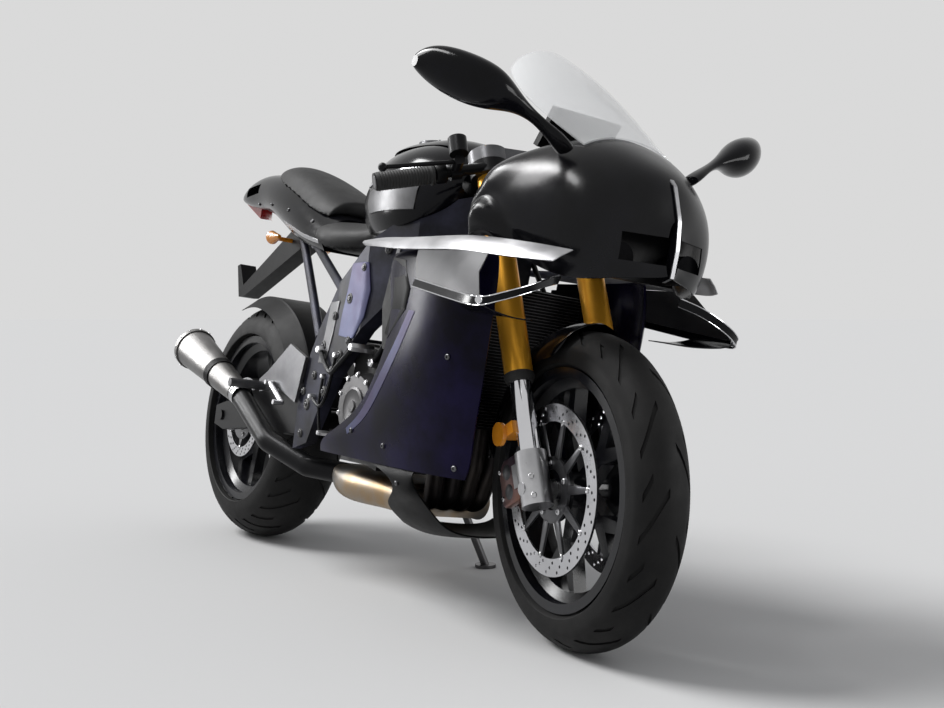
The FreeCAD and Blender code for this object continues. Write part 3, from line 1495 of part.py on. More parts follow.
bracket_width_share = 0.5
bracket_shares = [
    (1.9, 8.4), (1.9, 8.9), (0.9, 8.9), (-2.7, 7.1), (-3.1, 7.75), (-3.3, 7.7), (-2.95, 6.75),
    (-2.6, 6.75)]
rail_shares = ((5.7, 1.68, 5.5), (2.4, 0.85, 8.15))
strut_shares = ((6.6, 1.66, 6.6), (3.4, 0.95, 7.95))
rail_cross_shares = (3.4, 2.1, 7.95)
heel_shares = [
    (5.2, 3.9), (5.5, 5.0), (4.6, 5.3), (3.5, 4.6), (3.0, 4.35), (3.1, 4.05), (4.2, 4.2)]
heel_y_share = 1.86
heel_boss_shares = (5.25, 1.6, 4.3)
peg_shares = (3.3, 4.2)
foot_pin_shares = (3.9, 4.3)
foot_toe_shares = (4.75, 3.85)


def build_small_parts():
    right, left = build_mirrors()
    cowl = doc.getObject("cowl_shell")
    sub_part("mirrors", "root", [cut("mirror_right_cut", right, cowl),
                                 cut("mirror_left_cut", left, cowl)])
    bracket = plate("plate_bracket_arm", on_grid(bracket_shares),
                    across * bracket_width_share, 0)
    sub_part("plate_bracket", "root", [cut("plate_bracket_cut", bracket,
                                           doc.getObject("tail_open"))])
    rails = []
    for side, word in ((-1, "right"), (1, "left")):
        rails.append(side_run("sub_rail_" + word, d.stay_radius, rail_shares, side))
        rails.append(side_run("sub_strut_" + word, d.stay_radius, strut_shares, side))
    x_share, wide_share, z_share = rail_cross_shares
    cross = bar("sub_cross", d.stay_radius, across * wide_share,
                (along * x_share, across * (-wide_share / 2), up * z_share), "y")
    sub_part("rear_subframe", "root", [
        cut("rear_subframe_cut", join("rear_subframe_whole", rails + [cross]),
            join("rear_subframe_neighbours", [doc.getObject("frame_cut"),
                                              doc.getObject("tail_open")]))])
    pegs = []
    levers = []
    plate_middle = across * heel_y_share
    plate_face = plate_middle + d.heel_plate_thick / 2
    boss_x_share, boss_y_share, boss_z_share = heel_boss_shares
    boss_in = across * boss_y_share
    boss_length = plate_middle - boss_in
    reach = d.lever_rod_radius * 4
    for side, word in ((-1, "right"), (1, "left")):
        heel = plate("heel_plate_" + word, on_grid(heel_shares), d.heel_plate_thick,
                     plate_middle * side)
        start = plate_middle if side > 0 else -plate_middle - d.peg_length
        x_share, z_share = peg_shares
        peg = bar("peg_" + word, d.peg_radius, d.peg_length,
                  (along * x_share, start, up * z_share), "y")
        start = boss_in if side > 0 else -boss_in - boss_length
        boss = bar("heel_boss_" + word, d.stay_radius, boss_length,
                   (along * boss_x_share, start, up * boss_z_share), "y")
        pegs.append(cut("footrest_cut_" + word, join("footrest_" + word, [heel, peg, boss]),
                        doc.getObject("frame_cut")))
        x_share, z_share = foot_pin_shares
        start = plate_face if side > 0 else -plate_face - reach
        pin = bar("foot_pin_" + word, d.lever_rod_radius, reach,
                  (along * x_share, start, up * z_share), "y")
        root = Vector(along.value * x_share, side * (plate_face.value + reach.value / 2),
                      up.value * z_share)
        x_share, z_share = foot_toe_shares
        tip = Vector(along.value * x_share, root.y, up.value * z_share)
        rod = rod_between("foot_lever_" + word, d.lever_rod_radius, root, tip)
        start = plate_face + reach / 2 if side > 0 else -plate_face - reach * 3 / 2
        toe = bar("foot_toe_" + word, d.lever_rod_radius, reach,
                  (along * x_share, start, up * z_share), "y")
        levers.append(join("foot_lever_whole_" + word, [pin, rod, toe]))
    sub_part("footrests", "root", pegs)
    sub_part("foot_levers", "root", levers)


# Stays, lamps and instruments inside the nose
beam_shares = (11.45, 0.2, 8.6)
beam_end_share = 14.6
beam_tall_share = 0.45
lamp_plate_shares = (0.15, 1.0, 6.95)
lamp_shares = (0.8, 7.25)
lamp_reach_share = 0.6
panel_stay_shares = (12.3, 12.47, 9.7)
gauge_shares = [(12.28, 9.62), (12.42, 9.55), (12.95, 10.25), (12.8, 10.32)]


def build_nose(cowl_solid):
    x_share, half_share, z_share = beam_shares
    beam = block("stay_beam", (along * (beam_end_share - x_share), across * (half_share * 2),
                               up * beam_tall_share),
                 (along * x_share, across * -half_share, up * z_share))
    thick_share, plate_half_share, low_share = lamp_plate_shares
    lamp_plate = block("lamp_plate", (along * thick_share, across * (plate_half_share * 2),
                                      up * (z_share + beam_tall_share - low_share)),
                       (along * beam_end_share, across * -plate_half_share, up * low_share))
    arms = []
    middle = grid(beam_end_share - half_share * 3, 0, z_share + half_share)
    for side, word in ((-1, "right"), (1, "left")):
        arms.append(stay_to("cowl_arm_" + word, d.lever_rod_radius, middle,
                            Vector(0, side, 0), cowl_solid))
    gauge_foot = grid(panel_stay_shares[0], 0, z_share)
    gauge_top = grid(panel_stay_shares[1], 0, panel_stay_shares[2])
    post = rod_between("gauge_post", d.stay_radius, gauge_foot, gauge_top)
    gauge = plate("gauge_case", on_grid(gauge_shares), d.gauge_width, 0)
    stay = join("cowl_stay_whole", [beam, lamp_plate, post] + arms)
    sub_part("cowl_stay", "root", [cut("cowl_stay_cut", stay, join("cowl_stay_neighbours", [
        doc.getObject("frame_cut"), gauge]))])
    sub_part("instrument_panel", "root", [gauge])
    lamps = []
    y_share, lamp_z_share = lamp_shares
    for side, word in ((-1, "right"), (1, "left")):
        lamps.append(bar("lamp_" + word, d.lamp_radius, along * lamp_reach_share,
                         (along * (beam_end_share + thick_share), across * (side * y_share),
                          up * lamp_z_share), "x"))
    sub_part("headlamps", "root", lamps)


fairing_stay_shares = [
    ("low", d.crankcase_width, 8.6, 3.1),
    ("middle", d.radiator_width, 10.67, 5.0),
    ("high", d.radiator_width, 10.93, 6.3),
]
duct_shares = [
    (9.55, 7.15), (9.3, 6.2), (9.5, 5.3), (9.95, 5.15), (9.85, 6.1), (10.1, 6.75),
    (11.0, 6.85), (11.2, 7.15)]
duct_y_share = 2.1
duct_boss_shares = (9.6, 7.02)
tail_lamp_shares = [(-3.3, 9.76), (-3.3, 9.6), (-2.2, 9.1), (-2.2, 9.6)]
tail_lamp_width_share = 0.36
indicator_shares = (0.35, 8.3)
indicator_reach_share = 0.85


def build_stays_and_lamps(fairings):
    stays = []
    for word, width, x_share, z_share in fairing_stay_shares:
        for side, side_word in ((-1, "right"), (1, "left")):
            start = Vector(along.value * x_share, side * width.value / 2, up.value * z_share)
            stays.append(stay_to("fairing_stay_%s_%s" % (word, side_word), d.lever_rod_radius,
                                 start, Vector(0, side, 0), fairings[side]))
    sub_part("fairing_stays", "root", stays)
    ducts = []
    x_share, z_share = duct_boss_shares
    for side, word in ((-1, "right"), (1, "left")):
        duct = plate("duct_" + word, on_grid(duct_shares), d.panel_wall,
                     across * (side * duct_y_share))
        start = across * 1 if side > 0 else across * -duct_y_share
        boss = bar("duct_boss_" + word, d.lever_rod_radius, across * (duct_y_share - 1),
                   (along * x_share, start, up * z_share), "y")
        ducts.append(cut("duct_cut_" + word, join("duct_whole_" + word, [duct, boss]),
                         doc.getObject("frame_cut")))
    sub_part("inner_ducts", "root", ducts)
    lamp = plate("tail_lamp", on_grid(tail_lamp_shares), across * tail_lamp_width_share, 0)
    sub_part("tail_light", "root", [cut("tail_lamp_cut", lamp, doc.getObject("tail_open"))])
    x_share, z_share = indicator_shares
    lenses = []
    for side, word in ((-1, "right"), (1, "left")):
        half = across * (bracket_width_share / 2)
        reach = across * indicator_reach_share - half
        start = half if side > 0 else -half - reach
        stalk = bar("indicator_stalk_" + word, d.lever_rod_radius, reach,
                    (along * x_share, start, up * z_share), "y")
        lens = cone("indicator_lens_" + word, d.indicator_radius, d.lever_rod_radius,
                    d.indicator_length,
                    (along * x_share, across * (side * indicator_reach_share), up * z_share), "x")
        lenses.append(join("indicator_" + word, [stalk, lens]))
    sub_part("indicators", "root", lenses)


# Side stand
stand_pivot_shares = (6.75, 1.75, 2.55)
stand_foot_shares = (7.05, 2.9, 0.4)
stand_folded_shares = (-2.4, 0.3, 0.2)
stand_root_shares = (7.3, 1.5, 3.02)
stand_base_shares = (7.05, 2.79)
stand_base_size_shares = (0.55, 0.45)


def tongue(name, radius, length, thick):
    """A flat eye: round about its own origin, then straight along its z axis."""
    return plate(name, [(-radius, 0, radius), (0, -radius, radius), (radius, 0),
                        (radius, length), (-radius, length)], thick, 0)


def stand_turn(axis, way):
    """Rotation that lays y along the pin and z as near as it can along a way."""
    return Rotation(Vector(), axis, way, "YZX")


def build_stand(lean_place):
    pivot = grid(*stand_pivot_shares)
    world_foot = lean_place.multVec(grid(*stand_foot_shares))
    world_foot.z = d.stand_foot_thick.value / 2
    foot_spot = lean_place.inverse().multVec(world_foot)
    leg_way = foot_spot - pivot
    axis = leg_way.cross(grid(*stand_folded_shares)).normalize()
    eye = tongue("stand_eye", d.stand_ring_radius, d.stand_eye_length, d.stand_ring_tall)
    eye.Placement = Placement(pivot, stand_turn(axis, leg_way))
    slot_half = d.stand_ring_radius + d.overrun
    slot = doc.addObject("Part::Box", "stand_slot")
    bind(slot, "Length", slot_half * 2)
    bind(slot, "Width", d.stand_lug_thick + d.fit_gap * 2)
    bind(slot, "Height", slot_half * 2)
    slot.Placement = eye.Placement * Placement(
        Vector(-slot_half.value, -d.stand_lug_thick.value / 2 - d.fit_gap.value,
               -slot_half.value), Rotation())
    pin_turn = Rotation(Vector(0, 0, 1), axis)
    hole = doc.addObject("Part::Cylinder", "stand_hole")
    bind(hole, "Radius", d.stand_pin_radius + d.fit_gap)
    bind(hole, "Height", d.stand_ring_tall * 2)
    hole.Placement = Placement(pivot - axis * d.stand_ring_tall.value, pin_turn)
    leg_start = pivot + leg_way.normalize() * (slot_half.value + d.overrun.value)
    leg = rod_between("stand_leg", d.stand_leg_radius, leg_start, foot_spot)
    foot = doc.addObject("Part::Cylinder", "stand_foot")
    bind(foot, "Radius", d.stand_foot_radius)
    bind(foot, "Height", d.stand_foot_thick)
    flat = Vector(world_foot.x, world_foot.y, 0)
    foot.Placement = lean_place.inverse() * Placement(flat, Rotation())
    trim = doc.addObject("Part::Box", "stand_trim")
    for side in ("Length", "Width", "Height"):
        bind(trim, side, d.stand_foot_radius * 4)
    half_span = d.stand_foot_radius.value * 2
    trim.Placement = lean_place.inverse() * Placement(
        flat - Vector(half_span, half_span, half_span * 2), Rotation())
    forked = cut("stand_forked", eye, join("stand_openings", [slot, hole]))
    whole = join("stand_whole", [forked, leg, foot])
    sub_part("side_stand", "side_stand", [cut("stand_cut", whole, trim)])
    root = grid(*stand_root_shares)
    reach = (root - pivot).Length
    lug = tongue("stand_lug", d.stand_ring_radius, reach, d.stand_lug_thick)
    lug.Placement = Placement(pivot, stand_turn(axis, root - pivot))
    pin = doc.addObject("Part::Cylinder", "stand_pin")
    bind(pin, "Radius", d.stand_pin_radius)
    bind(pin, "Height", d.stand_ring_tall + d.overrun)
    pin.Placement = Placement(
        pivot - axis * ((d.stand_ring_tall.value + d.overrun.value) / 2), pin_turn)
    long_share, tall_share = stand_base_size_shares
    x_share, z_share = stand_base_shares
    base = block("stand_base", (along * long_share, d.stand_ring_radius, up * tall_share),
                 (along * x_share, d.crankcase_width / 2, up * z_share))
    sub_part("stand_bracket", "root", [
        cut("stand_bracket_cut", join("stand_bracket_whole", [lug, base, pin]),
            doc.getObject("engine_whole"))])
    return pivot, axis


# Resting pose: leaned to the left onto the stand, both tyres and the foot on the floor
def tyre_low(place, centre, spin_axis, radius, crown):
    """Height of the lowest point of a tyre above the floor."""
    high = place.multVec(centre).z
    tilt = place.Rotation.multVec(spin_axis).z
    return high - (radius - crown) * math.sqrt(1 - tilt * tilt) - crown


def rest_place():
    """Lean and the small pitch that brings both tyres to the floor."""
    steer = Rotation(Vector(0, 0, 1), -d.steer_turn.value)
    axis_place = steering_place()
    turned_place = axis_place * Placement(Vector(0, 0, 0), steer)
    front_centre = turned_place.multVec(Vector(fork_offset.value, 0, 0))
    front_spin = turned_place.Rotation.multVec(Vector(0, 1, 0))
    rear_centre = Vector(0, 0, d.rear_radius.value)
    pitch = 0.0
    rise = 0.0
    for attempt in range(4):
        place = Placement(Vector(0, 0, rise), Rotation(Vector(0, 1, 0), math.degrees(pitch)))
        place = place * Placement(Vector(), Rotation(Vector(1, 0, 0), -d.lean.value))
        front = tyre_low(place, front_centre, front_spin, d.front_radius.value,
                         d.front_crown.value)
        rear = tyre_low(place, rear_centre, Vector(0, 1, 0), d.rear_radius.value,
                        d.rear_crown.value)
        pitch += (front - rear) / d.wheelbase.value
        rise -= rear
    return place, turned_place


lean_place, turned_place = rest_place()
build_wheels()
build_fork()
build_steering_top()
build_guard_parts()
frame_item = build_frame()
sub_part("frame", "root", [frame_item])
build_engine()
build_radiator()
build_swingarm()
build_chain()
build_rear_end()
build_exhaust()
build_seat_and_tank(frame_item)
cowl_item, fairing_items = build_bodywork(frame_item)
build_small_parts()
build_nose(cowl_item)
build_stays_and_lamps(fairing_items)
stand_pivot, stand_axis = build_stand(lean_place)
doc.recompute()

front_wheel_place = turned_place * Placement(Vector(fork_offset.value, 0, 0), Rotation())
rear_wheel_place = Placement(Vector(0, 0, d.rear_radius.value), Rotation())
group_places = {
    "root": Placement(),
    "side_stand": Placement(),
    "steering": turned_place,
    "front_wheel": front_wheel_place,
    "rear_wheel": rear_wheel_place,
}
for group, members in groups.items():
    for member in members:
        member.Placement = lean_place * group_places[group]
doc.recompute()
whole_box = FreeCAD.BoundBox()
for members in groups.values():
    for member in members:
        whole_box.add(member.Shape.optimalBoundingBox(False))
shift = Vector(-whole_box.Center.x, -whole_box.Center.y, 0)
for members in groups.values():
    for member in members:
        member.Placement = Placement(shift, Rotation()) * member.Placement
doc.recompute()

for item in doc.Objects:
    if "Invalid" in item.State or "Error" in item.State:
        raise RuntimeError("object %s failed" % item.Name)
os.makedirs("parts", exist_ok=True)
for members in groups.values():
    for member in members:
        if member.Shape.isNull() or not member.Shape.isValid():
            raise RuntimeError("sub-part %s has no valid shape" % member.Label)
        member.Shape.exportStep("parts/%s.step" % member.Label)
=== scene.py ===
"""Looks of a sport motorcycle on its side stand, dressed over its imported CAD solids.

All pieces are modelled in the upright machine's own frame, in metres: x forward from the
rear axle, y to the left, z up from the ground. Stance carries them to the leaning place.
"""

from __future__ import annotations

import json
import logging
import math
from collections.abc import Callable, Iterator, Sequence
from contextlib import contextmanager
from dataclasses import dataclass
from enum import Enum

import bmesh
import bpy
from mathutils import Matrix, Vector

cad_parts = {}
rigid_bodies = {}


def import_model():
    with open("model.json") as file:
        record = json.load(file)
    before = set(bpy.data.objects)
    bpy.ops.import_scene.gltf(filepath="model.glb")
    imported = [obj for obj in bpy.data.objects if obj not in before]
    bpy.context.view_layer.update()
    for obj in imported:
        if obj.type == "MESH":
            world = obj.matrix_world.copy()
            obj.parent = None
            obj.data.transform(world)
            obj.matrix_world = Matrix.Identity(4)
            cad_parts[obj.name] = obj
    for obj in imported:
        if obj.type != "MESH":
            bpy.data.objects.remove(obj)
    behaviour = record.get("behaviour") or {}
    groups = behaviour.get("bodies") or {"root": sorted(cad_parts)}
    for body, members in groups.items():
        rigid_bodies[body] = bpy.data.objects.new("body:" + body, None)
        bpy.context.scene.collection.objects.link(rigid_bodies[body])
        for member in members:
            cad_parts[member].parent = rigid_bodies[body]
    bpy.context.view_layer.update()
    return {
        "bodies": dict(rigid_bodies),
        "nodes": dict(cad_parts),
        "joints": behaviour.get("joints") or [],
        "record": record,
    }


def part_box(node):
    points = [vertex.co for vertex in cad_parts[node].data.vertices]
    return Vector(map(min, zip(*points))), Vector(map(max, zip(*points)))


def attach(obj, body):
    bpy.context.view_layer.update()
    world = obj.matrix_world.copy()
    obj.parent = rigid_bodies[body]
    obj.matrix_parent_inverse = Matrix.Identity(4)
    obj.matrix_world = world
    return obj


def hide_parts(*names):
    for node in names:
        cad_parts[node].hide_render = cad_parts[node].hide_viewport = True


log = logging.getLogger("sport_motorcycle")
Colour = tuple[float, float, float]
Point = tuple[float, float, float]
Test = Callable[[Vector, Vector], bool]
Section = tuple[tuple[float, float], ...]

# The machine's right and left side
SIDES = (-1, 1)

# Outlines that are read off the photograph are written in tenths of a metre
TENTH = 0.1

# A turned section that reaches its axis stops at this radius
CORE = 0.0001

# Vertices closer than this are one
MERGE_GAP = 0.00002


# Shader expressions
class Wire:
    """An output of a shader node that takes part in arithmetic."""

    def __init__(self, bench: "ShaderBench", socket: bpy.types.NodeSocket) -> None:
        """Keeps the socket and the bench that its tree belongs to."""
        self.bench = bench
        self.socket = socket

    def _math(self, operation: str, first: "Wire | float", second: "Wire | float") -> "Wire":
        """Adds one Math node."""
        return self.bench.node("ShaderNodeMath", {"operation": operation}, {0: first, 1: second})

    def __add__(self, other: "Wire | float") -> "Wire":
        """Sum."""
        return self._math("ADD", self, other)

    def __rsub__(self, other: float) -> "Wire":
        """Difference from a number on the left."""
        return self._math("SUBTRACT", other, self)

    def __mul__(self, other: "Wire | float") -> "Wire":
        """Product."""
        return self._math("MULTIPLY", self, other)


class ShaderBench:
    """The node tree of one finish, or of the world."""

    def __init__(self, owner: bpy.types.Material | bpy.types.World) -> None:
        """Empties the owner's tree to start with."""
        self.owner = owner
        owner.use_nodes = True
        self.tree = owner.node_tree
        self.tree.nodes.clear()

    def node(
        self,
        kind: str,
        settings: dict[str, object] | None = None,
        inputs: dict[str | int, object] | None = None,
        output: int | str = 0,
    ) -> Wire:
        """Adds a node.

        Args:
            kind: The node's type.
            settings: Its properties, set first; "stops" fills a colour ramp.
            inputs: Values or wires of its sockets.
            output: Which output is handed back.

        Returns:
            The wire of that output.
        """
        made = self.tree.nodes.new(kind)
        for key, value in (settings or {}).items():
            if key == "stops":
                ramp = made.color_ramp
                while len(ramp.elements) < len(value):
                    ramp.elements.new(1.0)
                for element, (place, colour) in zip(ramp.elements, value):
                    element.position = place
                    element.color = (*colour, 1.0)
            else:
                setattr(made, key, value)
        for key, value in (inputs or {}).items():
            if isinstance(value, Wire):
                self.tree.links.new(value.socket, made.inputs[key])
            else:
                made.inputs[key].default_value = value
        return Wire(self, made.outputs[output])

    def place(self) -> Wire:
        """The point on the piece, in the frame's metres."""
        return self.node("ShaderNodeTexCoord", output="Object")

    def stretched(self, scale: Point) -> Wire:
        """The point on the piece with each axis scaled."""
        return self.node("ShaderNodeMapping", inputs={"Vector": self.place(), "Scale": scale})

    def noise(self, vector: Wire, scale: float, detail: float = 3.0) -> Wire:
        """Cloudy noise from zero to one."""
        return self.node(
            "ShaderNodeTexNoise",
            inputs={"Vector": vector, "Scale": scale, "Detail": detail, "Roughness": 0.6},
        )

    def cells(self, scale: float, edges: bool) -> Wire:
        """Distance in a cell pattern, to the cell's edge or its middle."""
        feature = "DISTANCE_TO_EDGE" if edges else "F1"
        return self.node(
            "ShaderNodeTexVoronoi",
            {"feature": feature},
            {"Vector": self.place(), "Scale": scale},
            "Distance",
        )

    def blend(self, share: Wire, first: Colour | Wire, second: Colour | Wire) -> Wire:
        """Mixes two colours by a share."""
        made = {0: share}
        for slot, colour in ((6, first), (7, second)):
            made[slot] = colour if isinstance(colour, Wire) else (*colour, 1.0)
        return self.node("ShaderNodeMix", {"data_type": "RGBA"}, made, 2)

    def bump(self, height: Wire, distance: float) -> Wire:
        """A normal from a height that runs from zero to one."""
        return self.node(
            "ShaderNodeBump", inputs={"Height": height, "Distance": distance, "Strength": 1.0}
        )

    def end(
        self, surface: Wire, kind: str = "ShaderNodeOutputMaterial"
    ) -> bpy.types.Material | bpy.types.World:
        """Hands a surface shader to the owner's output node."""
        made = self.tree.nodes.new(kind)
        self.tree.links.new(surface.socket, made.inputs["Surface"])
        return self.owner


# Finishes
class Grain(Enum):
    """Small relief of a finish."""

    PEEL = "the soft waves of sprayed lacquer"
    CAST = "rough sand-cast skin"
    MOULDED = "fine leather-like mould texture"
    BRUSHED = "straight brush lines"
    HIDE = "creases of a vinyl cover"


@dataclass(frozen=True)
class Finish:
    """A solid finish: colour that varies a little, roughness, and a grain."""

    name: str
    colour: Colour
    roughness: float
    metallic: float = 0.0
    grain: Grain = Grain.PEEL
    grain_size: float = 0.004
    grain_height: float = 0.00004
    mottle: float = 0.25
    coat: float = 0.0
    gloss: float = 0.4
    shade: Colour | None = None

    def relief(self, bench: ShaderBench) -> Wire:
        """Height of the grain, from zero to one."""
        pitch = 1.0 / self.grain_size
        if self.grain is Grain.CAST:
            return bench.noise(bench.place(), pitch, 6.0)
        if self.grain is Grain.MOULDED:
            return bench.cells(pitch, False) * 0.7 + bench.noise(bench.place(), pitch) * 0.3
        if self.grain is Grain.BRUSHED:
            return bench.noise(bench.stretched((0.04, 1.0, 1.0)), pitch, 4.0)
        if self.grain is Grain.HIDE:
            crease = bench.cells(pitch, True)
            return crease * 2.0 + bench.noise(bench.place(), pitch * 3.0) * 0.2
        return bench.noise(bench.place(), pitch, 1.0)

    def tint(self, bench: ShaderBench) -> Wire:
        """Base colour with slow clouds of a second shade."""
        second = self.shade or tuple(part * (1.0 - self.mottle) for part in self.colour)
        clouds = bench.noise(bench.place(), 9.0, 5.0)
        share = bench.node(
            "ShaderNodeMapRange",
            inputs={"Value": clouds, "From Min": 0.35, "From Max": 0.65},
        )
        return bench.blend(share, self.colour, second)

    def dull(self, bench: ShaderBench) -> Wire:
        """Roughness with faint handling marks."""
        marks = bench.noise(bench.place(), 35.0, 6.0)
        return marks * (self.roughness * 0.5) + self.roughness * 0.75

    def material(self) -> bpy.types.Material:
        """Builds the material."""
        bench = ShaderBench(bpy.data.materials.new(self.name))
        surface: dict[str, object] = {
            "Base Color": self.tint(bench),
            "Roughness": self.dull(bench),
            "Metallic": self.metallic,
            "Specular IOR Level": self.gloss,
            "Normal": bench.bump(self.relief(bench), self.grain_height),
        }
        if self.coat:
            surface["Coat Weight"] = self.coat
            surface["Coat Roughness"] = 0.04
        return bench.end(bench.node("ShaderNodeBsdfPrincipled", inputs=surface))


@dataclass(frozen=True)
class TurnedFinish(Finish):
    """Metal worked on a lathe, with fine rings about an axis."""

    centre: Point = (0.0, 0.0, 0.0)
    axis: Point = (0.0, 1.0, 0.0)

    def radius(self, bench: ShaderBench) -> Wire:
        """Distance from the axis."""
        kind = "ShaderNodeVectorMath"
        from_centre = bench.node(
            kind, {"operation": "SUBTRACT"}, {0: bench.place(), 1: self.centre}
        )
        across = bench.node(kind, {"operation": "CROSS_PRODUCT"}, {0: from_centre, 1: self.axis})
        return bench.node(kind, {"operation": "LENGTH"}, {0: across}, "Value")

    def relief(self, bench: ShaderBench) -> Wire:
        """Fine rings from the tool."""
        return bench.node(
            "ShaderNodeTexNoise",
            {"noise_dimensions": "1D"},
            {"W": self.radius(bench), "Scale": 1.0 / self.grain_size, "Detail": 3.0},
        )


@dataclass(frozen=True)
class LensFinish(Finish):
    """Clear or tinted moulding that light passes through."""

    clearness: float = 1.0

    def material(self) -> bpy.types.Material:
        """Builds a thin see-through material with a glossy skin."""
        bench = ShaderBench(bpy.data.materials.new(self.name))
        skin = bench.node(
            "ShaderNodeBsdfPrincipled",
            inputs={
                "Base Color": self.tint(bench),
                "Roughness": self.dull(bench),
                "IOR": 1.49,
                "Coat Weight": 1.0,
                "Coat Roughness": 0.02,
                "Normal": bench.bump(self.relief(bench), self.grain_height),
            },
        )
        through = bench.node("ShaderNodeBsdfTransparent", inputs={0: (*self.colour, 1.0)})
        facing = bench.node("ShaderNodeLayerWeight", inputs={"Blend": 0.35}, output="Facing")
        share = (1.0 - facing) * self.clearness
        mixed = bench.node("ShaderNodeMixShader", inputs={0: share, 1: skin, 2: through})
        return bench.end(mixed)


